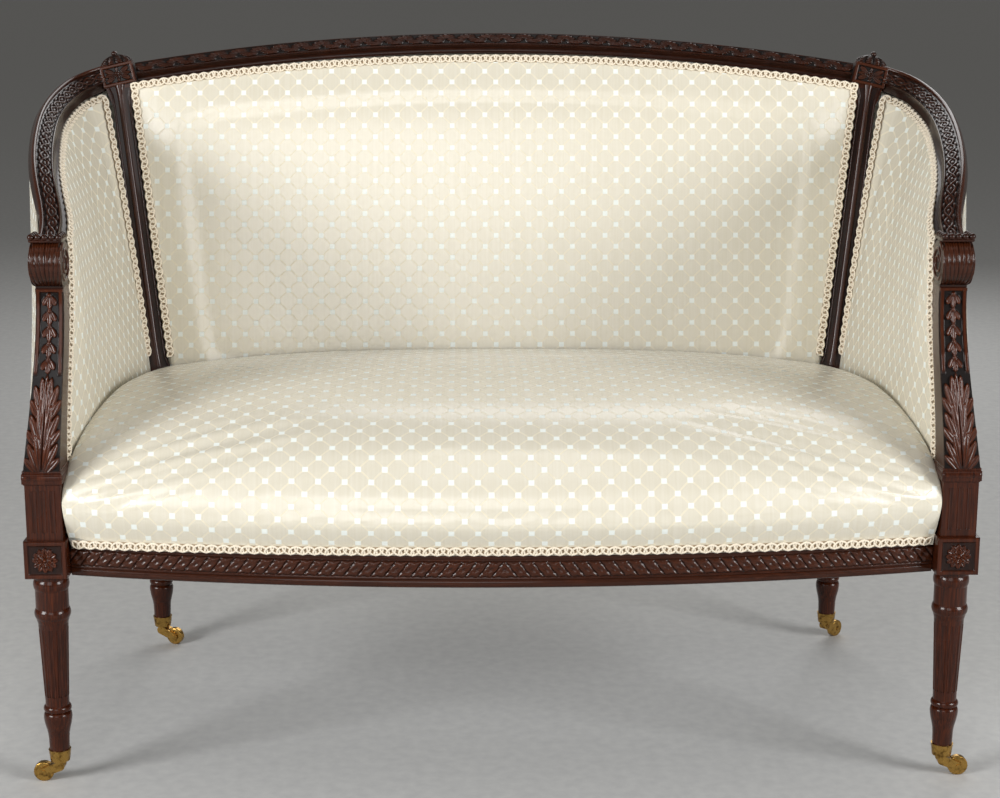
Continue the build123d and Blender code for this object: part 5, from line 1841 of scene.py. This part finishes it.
@dataclass
class Wing:
    """Curved inside wing, outside cover and the curves that both follow."""

    rail: ArmRail
    support: ArmSupport
    foot_z: float = 335.0
    crown: float = 8.0
    front_inset: float = 6.5
    front_setback: float = 8.0
    rear_setback: float = 18.0
    swing: float = 1.6
    cover_foot_z: float = 283.0
    cover_bulge: float = 5.0
    cover_thickness: float = 1.6
    drawn_from: float = 0.68
    pulled_to: float = 0.16
    stretch: float = 3.0
    wide: float = 620.0
    tall: float = 430.0
    seam: float = 14.0
    rear_end: float = 0.985
    # Distance from the centre line and distance behind the front legs, along the outside cover's foot
    cover_foot: tuple = ((566.7, 8.0), (573.8, 33.4), (578.0, 100.0), (579.4, 251.5), (569.5, 370.0), (546.0, 430.0),
                         (524.6, 470.0), (522.6, 511.5))
    fronts: Array = field(init=False)

    def __post_init__(self) -> None:
        """Find the share of the run where the wing meets the back of the arm support, up its height."""
        s = np.linspace(0, 1, 61)
        low, high = np.zeros(61), np.full(61, 0.3)
        for _ in range(24):
            t = (low + high) / 2
            points = self.foot(t) * (1 - s)[:, None] + self.head(t) * s[:, None]
            short = points[:, 1] < self.support.rear_y(points[:, 2]) + 0.5
            low, high = np.where(short, t, low), np.where(short, high, t)
        self.fronts = np.stack([s, (low + high) / 2])

    def foot(self, t: Array) -> Array:
        """Foot of the right-hand wing, gathered towards the stile so that the turn is gentle.

        Args:
            t: Shares of the run.

        Returns:
            Points in millimetres.
        """
        x0, x1 = STANCE.block_inner_x + self.front_inset, STANCE.stile_foot_x
        y0, y1 = STANCE.behind(self.front_setback), STANCE.behind(STANCE.stile_setback - self.rear_setback)
        run = 1 - (1 - t) ** 1.7 * (1 - 0.35 * t)
        x, y = x0 + (x1 - x0) * run**self.swing, y0 + (y1 - y0) * run
        return np.stack([x, y, np.full_like(t, self.foot_z)], axis=1)

    def start(self, s: Array) -> Array:
        """Share of the run where the wing comes out from behind the swept arm support, at a share of its height."""
        return np.interp(s, self.fronts[0], self.fronts[1])

    def along(self, u: Array, v: Array) -> Array:
        """Share of the run at a share of the pad's width, from the arm support to the stile."""
        return self.start(v) + (self.rear_end - self.start(v)) * u

    def head(self, t: Array) -> Array:
        """Head of the right-hand wing, under the arm rail's inner edge.

        Args:
            t: Shares of the run.

        Returns:
            Points in millimetres.
        """
        rows = self.rail.frames
        line = rows[:, :3] - rows[:, 6:9] * (rows[:, 9:10] + 3.0) - rows[:, 3:6] * 9.0
        return smooth_through(line, t)

    def surface(self, t: Array, s: Array, out: Array | float = 0.0) -> Array:
        """Points of the wing at shares of its run and height, and out towards the sitter.

        Args:
            t: Shares of the run.
            s: Shares of the height.
            out: Distance out of the plain form.

        Returns:
            Points in millimetres.
        """
        low, high = self.foot(t), self.head(t)
        step = 0.01
        ahead, back = clamp(t + step), clamp(t - step)
        travel = self.foot(ahead) + self.head(ahead) - self.foot(back) - self.head(back)
        up = unit(high - low)
        outward = unit(np.stack([travel[:, 1], -travel[:, 0], np.zeros(len(t))], axis=1))
        outward = unit(outward - up * np.sum(outward * up, axis=1, keepdims=True))
        bulge = self.crown * 4 * s * (1 - s) * clamp((t - 0.03) / 0.25) ** 0.7 + out
        return low + (high - low) * s[:, None] - outward * np.asarray(bulge)[:, None]

    def build_inside(self) -> Piece:
        """Lay out the right-hand inside wing and its weave.

        Returns:
            The piece.
        """

        def surface(u: Array, v: Array) -> Array:
            """Points of the stuffed wing."""
            rim = np.minimum.reduce([u, 1 - u, v, 1 - v]) < RIM
            across = clamp((np.minimum(u, 1 - u) * self.wide - self.seam) / 70.0)
            up = clamp((np.minimum(v, 1 - v) * self.tall - self.seam) / 60.0)
            soft = 5.0 * (1 - (1 - across) ** 2) * (1 - (1 - up) ** 2)
            return self.surface(self.along(u, v), v, np.where(rim, -9.0, soft - 1.0))

        obj, u, v = add_grid("inside_wing_right", 100, 76, surface)
        order = np.linspace(0, 1, 200)
        run = arc_length(self.surface(order, np.full(200, 0.5)))
        across = np.interp(self.along(u, v), order, run)
        height = np.linalg.norm(self.head(u) - self.foot(u), axis=1)
        set_weave(obj, across, v * height)
        inside = np.minimum(np.minimum(u, 1 - u) * self.wide, np.minimum(v, 1 - v) * self.tall) - self.seam - 6.0
        return plump(tidy_mesh(obj, close=True, angle=80), 1 - clamp(inside / 45.0), self.stretch)

    def cover_surface(self, t: Array, s: Array) -> Array:
        """Points of the right-hand outside cover: from the side rail up to the underside of the arm rail.

        Args:
            t: Shares of the run.
            s: Shares of the height.

        Returns:
            Points in millimetres.
        """
        arc = np.array(self.cover_foot)
        foot_rows = np.stack([arc[:, 0], STANCE.front_y + arc[:, 1], np.full(len(arc), self.cover_foot_z)], axis=1)
        rows = self.rail.frames[1:]
        head_rows = rows[:, :3] - rows[:, 3:6] * self.rail.thickness - rows[:, 6:9] * 5.0
        low, high = smooth_through(foot_rows, t), smooth_through(head_rows, t)
        step = 0.01
        ahead, back = clamp(t + step), clamp(t - step)
        travel = (smooth_through(foot_rows, ahead) - smooth_through(foot_rows, back)
                  + smooth_through(head_rows, ahead) - smooth_through(head_rows, back))
        outward = unit(np.stack([travel[:, 1], -travel[:, 0], np.zeros(len(t))], axis=1))
        # Its rear edge is drawn in to the bent back post
        drawn = clamp((t - self.drawn_from) / (1 - self.drawn_from))
        drawn = drawn**2 * (3 - 2 * drawn)
        bulge = 2.6 + self.cover_bulge * 4 * s * (1 - s) * (1 - drawn)
        points = low + (high - low) * s[:, None] + outward * bulge[:, None]
        edge = foot_rows[-1] + (head_rows[-1] - foot_rows[-1]) * s[:, None]
        points[:, 0] += drawn * np.minimum(STANCE.post_side(edge[:, 2]) - 1.5 - edge[:, 0], 0)
        points[:, 1] += drawn * (STANCE.post_back(edge[:, 2]) - 2.0 - edge[:, 1])
        # Its front edge is pulled forward into the back of the arm support
        edge = foot_rows[0] + (head_rows[0] - foot_rows[0]) * s[:, None]
        pulled = clamp(1 - t / self.pulled_to) ** 2
        points[:, 0] += pulled * np.minimum(self.support.outer_x(edge[:, 2]) - 1.2 - edge[:, 0], 0)
        points[:, 1] += pulled * np.minimum(self.support.rear_y(edge[:, 2]) - 3.0 - edge[:, 1], 0)
        # Over the side rail it lies on the wood
        on_rail = points[:, 1] < STANCE.side_arc[-1][1]
        wood = np.where(on_rail, STANCE.side_x(points[:, 1]), STANCE.post_side(points[:, 2]))
        low_down = clamp((STANCE.rail_top + 18.0 - points[:, 2]) / 18.0)
        beside = points[:, 1] > STANCE.side_arc[0][1]
        points[:, 0] += np.clip(wood + 2.4 - points[:, 0], 0, None) * low_down * beside
        return points

    def build_outside(self) -> Piece:
        """Lay out the right-hand outside cover and its weave.

        Returns:
            The piece.
        """
        obj, u, v = add_grid("outside_wing_right", 110, 84, self.cover_surface)
        order = np.linspace(0, 1, 200)
        run = arc_length(self.cover_surface(order, np.full(200, 0.5)))
        rise = self.cover_surface(order, np.ones(200)) - self.cover_surface(order, np.zeros(200))
        height = np.linalg.norm(rise, axis=1)
        set_weave(obj, np.interp(u, order, run), v * np.interp(u, order, height))
        return thicken(tidy_mesh(obj, angle=80), self.cover_thickness)

    def dress(self, shop: Workshop) -> None:
        """Finish both wings, inside and out.

        Args:
            shop: The finishes.
        """
        for obj in finish_pair(self.build_inside(), shop.silk, "trellis_silk", "wing_pad", "wing_hessian"):
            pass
        covers = finish_pair(self.build_outside(), shop.silk, "outside_silk", "outside_wing_cover")


@dataclass
class Gimp:
    """Scroll gimp: a looped cord and its mirror image along the edges of the upholstery."""

    pitch: float = 14.5
    swing: float = 4.7
    offset: float = 0.2
    loop: float = 4.6
    cord: float = 1.35
    # Half width of the band under the cords, coloured with painted shade
    shade_tape: float = 4.9
    steps: int = 14
    sides: int = 6
    # Shares of the back's and the wing's width and height where the braid runs
    foot: float = 0.16
    back_side: float = 0.0068
    back_head: float = 0.9855
    wing_front: float = 0.011
    wing_head: float = 0.988
    wing_rear: float = 0.968
    wing_rear_foot: float = 0.22

    def build(self, name: str, path: Array, normal: Array) -> Piece:
        """Lay two looped cords along a path.

        Args:
            name: Name of the piece.
            path: Points of the middle of the braid.
            normal: Way out of the cloth at each of them.

        Returns:
            The braid as one piece.
        """
        run = arc_length(path)
        loops = max(4, round(run[-1] / self.pitch))
        count = loops * self.steps
        order = np.linspace(0, 1, count + 1)

        def follow(at: Array) -> Triple:
            """Middle of the braid, way out of the cloth and way across, at distances along it."""
            ahead = np.clip(at + 1.0, 0, run[-1])
            places = [np.stack([np.interp(spot, run, line[:, k]) for k in range(3)], axis=1)
                      for spot, line in ((at, path), (at, normal), (ahead, path), (ahead - 2.0, path))]
            out = unit(places[1])
            return places[0], out, unit(np.cross(out, unit(places[2] - places[3])))

        pieces = []
        for way, phase in ((1, 0.0), (-1, math.pi)):
            turn = 2 * math.pi * loops * order + phase
            along = order * run[-1] - self.loop * np.sin(turn)
            across = way * (self.swing * np.cos(turn) + self.offset)
            lift = self.cord + 0.7 * (1 + np.sin(turn + way))
            laid = np.stack([along, across, lift], axis=1)

            def centre(share: Array, laid: Array = laid) -> tuple[Array, Array]:
                """Middle of the cord and the way out of the cloth."""
                at, aside, height = (np.interp(share, order, laid[:, k]) for k in range(3))
                base, out, side = follow(np.clip(at, 0, run[-1]))
                return base + side * aside[:, None] + out * height[:, None], out

            def surface(u: Array, v: Array, centre: Callable = centre) -> Array:
                """Points of the cord's round skin."""
                middle, out = centre(u)
                ahead = centre(clamp(u + 0.2 / count))[0] - centre(clamp(u - 0.2 / count))[0]
                side = unit(np.cross(out, unit(ahead)))
                ring = 2 * math.pi * v
                return middle + (side * np.cos(ring)[:, None] + out * 0.8 * np.sin(ring)[:, None]) * self.cord

            cord, _, v = add_grid(name, count, self.sides, surface)
            # Painted shade on the cord's underside, where it meets the cloth
            set_share(cord, "wax_and_shade", 0.75 * clamp(-np.sin(2 * math.pi * v) + 0.1))
            pieces.append(tidy_mesh(cord, merge=SEAM, close=True, angle=80))

        def shade_tape_surface(u: Array, v: Array) -> Array:
            """Points of the flat band under the cords, which shows painted shade between the loops."""
            base, out, side = follow(u * run[-1])
            ring = 2 * math.pi * v
            return base + side * (self.shade_tape * np.cos(ring))[:, None] + out * (0.5 + 0.6 * np.sin(ring))[:, None]

        shade_tape, u, _ = add_grid(name, loops * 4, 8, shade_tape_surface)
        # The band is almost wholly painted shade, so that the gaps between the loops look dark
        set_share(shade_tape, "wax_and_shade", np.full(len(u), 0.85))
        pieces.append(tidy_mesh(shade_tape, merge=SEAM, close=True, angle=80))
        return join(name, pieces)

    def dress(self, shop: Workshop, seat: Seat, back: InsideBack, wing: Wing) -> None:
        """Lay the gimp along the seat's lip, round the inside back and round both wings.

        Args:
            shop: The finishes.
            seat: The seat, whose lip carries the first length.
            back: The inside back.
            wing: The right-hand wing.
        """
        x = np.linspace(-519, 519, 400)
        y = STANCE.bow_y(x) - seat.lip_out
        slope = np.gradient(y, x)
        out = unit(np.stack([slope, -np.ones_like(x), np.zeros_like(x)], axis=1))
        z = seat.lip_z + 5.5 - seat.lip_drop(x / 523.0)
        front = self.build("seat_gimp_braid", np.stack([x, y, z], axis=1), out)
        finish_piece(front, shop.gimp, "gimp", "seat_gimp")

        side, head = self.back_side, self.back_head
        u = np.concatenate([np.full(60, side), np.linspace(side, 1 - side, 200), np.full(60, 1 - side)])
        v = np.concatenate([np.linspace(self.foot, head, 60), np.full(200, head), np.linspace(head, self.foot, 60)])
        across, rise = back.outline(u, v)
        path = back.place(across, rise, back.puff(u, v))
        normal = np.tile(STANCE.back_normal, (len(u), 1))
        round_back = self.build("back_gimp_braid", path, normal)
        finish_piece(round_back, shop.gimp, "gimp", "back_gimp")

        head, rear = self.wing_head, self.wing_rear
        s = np.concatenate([np.linspace(self.foot, head, 80), np.full(200, head),
                            np.linspace(head, self.wing_rear_foot, 80)])
        front_t = wing.start(s[:80]) + self.wing_front
        t = np.concatenate([front_t, np.linspace(front_t[-1], rear, 200), np.full(80, rear)])
        sunk = np.repeat([-1.0, -2.5, -0.6], (80, 200, 80))
        path = wing.surface(t, s, sunk)
        normal = unit(wing.surface(t, s, sunk + 4.0) - path)
        # Turned to cover the pad's front edge, and its upper edge under the rail
        lean = np.repeat([[0.0, -0.4, 0.0], [0.0, -0.2, 0.5], [0.0, 0.0, 0.0]], (80, 200, 80), axis=0)
        right = self.build("wing_gimp_braid_right", path, unit(normal + lean))
        finish_pair(right, shop.gimp, "gimp", "wing_gimp")


@dataclass
class DustCover:
    """Black calico tacked under the seat rails, a little slack in the middle."""

    z: float = 266.8
    sag: float = 5.0
    front_half: float = 523.0
    front_end_y: float = -255.6
    front_bow_y: float = -304.6
    rear_half: float = 474.5
    back_y: float = 231.4
    inset: float = 18.0
    gap: float = 1.5
    thickness: float = 0.8

    def build(self) -> Piece:
        """Cut the cloth round the leg blocks and let it sag.

        Returns:
            The piece.
        """
        side_front, side_rear = STANCE.side_arc[0][1] + self.gap, STANCE.side_arc[-1][1] - self.gap
        side_y = np.linspace(side_front, side_rear, 40)
        # Each row of the cloth: its y and half width, doubled where it is cut round a leg block
        row_y = np.concatenate([np.linspace(self.front_bow_y, side_front, 8), side_y,
                                np.linspace(side_rear, self.back_y, 6)])
        row_half = np.concatenate([np.full(8, self.front_half), STANCE.side_x(side_y) - self.inset,
                                   np.full(6, self.rear_half)])
        last = len(row_y) - 1

        def surface(u: Array, v: Array) -> Array:
            """Points of the slack cloth."""
            share = 2 * u - 1
            at = np.rint(v * last).astype(int)
            bow = clamp((side_front - row_y[at]) / (side_front - self.front_bow_y)) * share**2
            y = row_y[at] + bow * (self.front_end_y - self.front_bow_y)
            slack = self.sag * (1 - share**2) * (1 - (2 * v - 1) ** 2)
            return np.stack([share * row_half[at], y, self.z - slack], axis=1)

        obj, _, _ = add_grid("dust_cover_cloth", 60, last, surface)
        return thicken(tidy_mesh(obj, angle=80), self.thickness)

    def dress(self, shop: Workshop) -> None:
        """Finish the dust cover."""
        obj = finish_piece(self.build(), shop.calico, "dust_cloth", "dust_cover")


@dataclass
class OutsideBack:
    """Plain silk panel over the backs of the posts."""

    thickness: float = 2.5
    foot_z: float = 271.5
    top_z: float = 868.0
    cloth: float = 1.6
    block_gap: float = 0.3
    post_gap: float = 0.6
    # Heights up the back, and half the panel's width at each
    halves: tuple = ((283.0, 334.0, 424.0, 820.0, 868.0), (520.0, 520.0, 500.0, 541.0, 541.0))
    arch_z: float = 866.0
    arch_drop: float = 46.0

    def build(self) -> Piece:
        """Lay out the bent outside back and its weave.

        Returns:
            The piece.
        """
        post_back = STANCE.post_depth / math.cos(STANCE.rake) + self.post_gap
        block_back = STANCE.rear_y + STANCE.rear_block_half + self.block_gap
        low, bend = STANCE.post_sides[0][:2]
        rows = np.array([[block_back, self.foot_z], [block_back, low],
                         *([STANCE.stile_y(z) + post_back, z] for z in (bend, self.top_z))])
        steps = arc_length(rows)

        def surface(u: Array, v: Array) -> Array:
            """Points of the outside back, a little slack in the middle."""
            share = 2 * u - 1
            height = self.foot_z + v * (self.top_z - self.foot_z)
            half = np.interp(height, *self.halves)
            top = self.arch_z - self.arch_drop * (share * half / self.halves[1][-1]) ** 2
            z = self.foot_z + v * (top - self.foot_z)
            y = np.interp(z, rows[:, 1], rows[:, 0])
            slack = 1.5 * (1 - share**4) * (1 - (2 * v - 1) ** 4)
            return np.stack([share * half, y + self.thickness - slack, z], axis=1)

        obj, _, _ = add_grid("outside_back_panel", 80, 70, surface)
        points = read_points(obj)
        set_weave(obj, points[:, 0], np.interp(points[:, 2], rows[:, 1], steps))
        return thicken(tidy_mesh(obj, angle=60), self.cloth)

    def dress(self, shop: Workshop) -> None:
        """Finish the outside back."""
        obj = finish_piece(self.build(), shop.silk, "outside_silk", "outside_back_cover")


class PackedWood:
    """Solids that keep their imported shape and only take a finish."""

    @staticmethod
    def dress(shop: Workshop) -> None:
        """Give every remaining solid the finish of its real material."""
        for name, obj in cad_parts.items():
            if "caster" in name:
                finish = shop.brass
            elif name.startswith(("front_leg", "arm_support", "back_post")):
                finish = shop.upright
            elif "hessian" in name:
                finish = shop.hessian
            elif "webbing" in name:
                finish = shop.webbing
            elif name == "seat_stuffing":
                finish = shop.stuffing
            elif name == "seat_springs":
                finish = shop.steel
            elif name == "dust_cover":
                finish = shop.calico
            elif "gimp" in name:
                finish = shop.gimp
            elif name.startswith("outside") or name in ("seat_cover", "back_pad") or name.startswith("wing_pad"):
                finish = shop.silk
            elif name.startswith(("dowels", "corner", "back_rail")) or "stuffing_rail" in name:
                finish = shop.beech
            else:
                finish = shop.along
            obj.data.materials.clear()
            obj.data.materials.append(finish)


@dataclass
class Studio:
    """Floor, lights and camera."""

    camera_at: tuple[float, float, float] = (-0.0509, -2.4857, 0.9806)
    yaw: float = 0.0209
    pitch: float = 0.22013
    roll: float = 0.00183
    focal_px: float = 1900.0
    image_width_px: float = 1000.0
    sensor_width: float = 36.0
    floor_size: float = 600.0
    aim_height: float = 0.45
    # Name, place, side and power of each lamp, in metres and watts
    lamps: tuple = (
        ("key", (-2.9, -2.2, 1.5), 1.3, 104.0),
        ("fill", (3.0, -2.1, 1.45), 1.4, 96.0),
        ("front", (-0.5, -3.4, 1.5), 1.6, 20.0),
        ("top", (0.1, -0.9, 3.0), 1.2, 5.0),
        ("behind", (0.6, 2.8, 2.3), 2.2, 40.0),
    )
    air: str = "#e6e4e0"
    air_strength: float = 0.2

    def build_floor(self, shop: Workshop) -> None:
        """Lay the floor.

        Args:
            shop: The finishes.
        """
        deselect()
        bpy.ops.mesh.primitive_plane_add(size=self.floor_size)
        floor = bpy.context.object
        floor.name = "studio_floor"
        floor.data.materials.append(shop.floor)

    def build_camera(self) -> None:
        """Set the camera at the photograph's viewing angle."""
        forward = Vector((math.sin(self.yaw) * math.cos(self.pitch), math.cos(self.yaw) * math.cos(self.pitch),
                          -math.sin(self.pitch)))
        right = Vector((math.cos(self.yaw), -math.sin(self.yaw), 0.0))
        up = right.cross(forward)
        turned = right * math.cos(self.roll) + up * math.sin(self.roll)
        upright = up * math.cos(self.roll) - right * math.sin(self.roll)
        data = bpy.data.cameras.new("camera")
        data.sensor_fit = "HORIZONTAL"
        data.sensor_width = self.sensor_width
        data.lens = self.sensor_width * self.focal_px / self.image_width_px
        camera = bpy.data.objects.new("camera", data)
        bpy.context.collection.objects.link(camera)
        turn = Matrix((turned, upright, -forward)).transposed().to_4x4()
        camera.matrix_world = Matrix.Translation(self.camera_at) @ turn
        bpy.context.scene.camera = camera

    def build_lights(self) -> None:
        """Hang the soft studio lamps, aimed at the middle of the settee, and set the air's own light."""
        for name, place, size, power in self.lamps:
            data = bpy.data.lights.new(name, "AREA")
            data.size = size
            data.energy = power
            lamp = bpy.data.objects.new(name, data)
            bpy.context.collection.objects.link(lamp)
            lamp.location = place
            aim = Vector((0.0, 0.0, self.aim_height)) - Vector(place)
            lamp.rotation_euler = aim.to_track_quat("-Z", "Y").to_euler()
        world = bpy.data.worlds.new("studio")
        world.use_nodes = True
        background = world.node_tree.nodes["Background"]
        background.inputs["Color"].default_value = linear(self.air)
        background.inputs["Strength"].default_value = self.air_strength
        bpy.context.scene.world = world
        bpy.context.scene.view_settings.view_transform = "Standard"

    def build(self, shop: Workshop) -> None:
        """Set up everything round the settee.

        Args:
            shop: The finishes.
        """
        self.build_floor(shop)
        self.build_camera()
        self.build_lights()


def main() -> None:
    """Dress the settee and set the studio."""
    logging.basicConfig(level=logging.INFO, format="%(message)s")
    shop = Workshop()
    PackedWood.dress(shop)
    rail, support, seat, back = ArmRail(), ArmSupport(), Seat(), InsideBack()
    wing = Wing(rail, support)
    for assembly in (rail, CrestRail(), support, LegBlock(), Stile(), FrontRailBand(), seat, back, wing,
                     OutsideBack(), DustCover()):
        assembly.dress(shop)
    Gimp().dress(shop, seat, back, wing)
    Studio().build(shop)
    deselect()


if __name__ == "__main__":
    main()
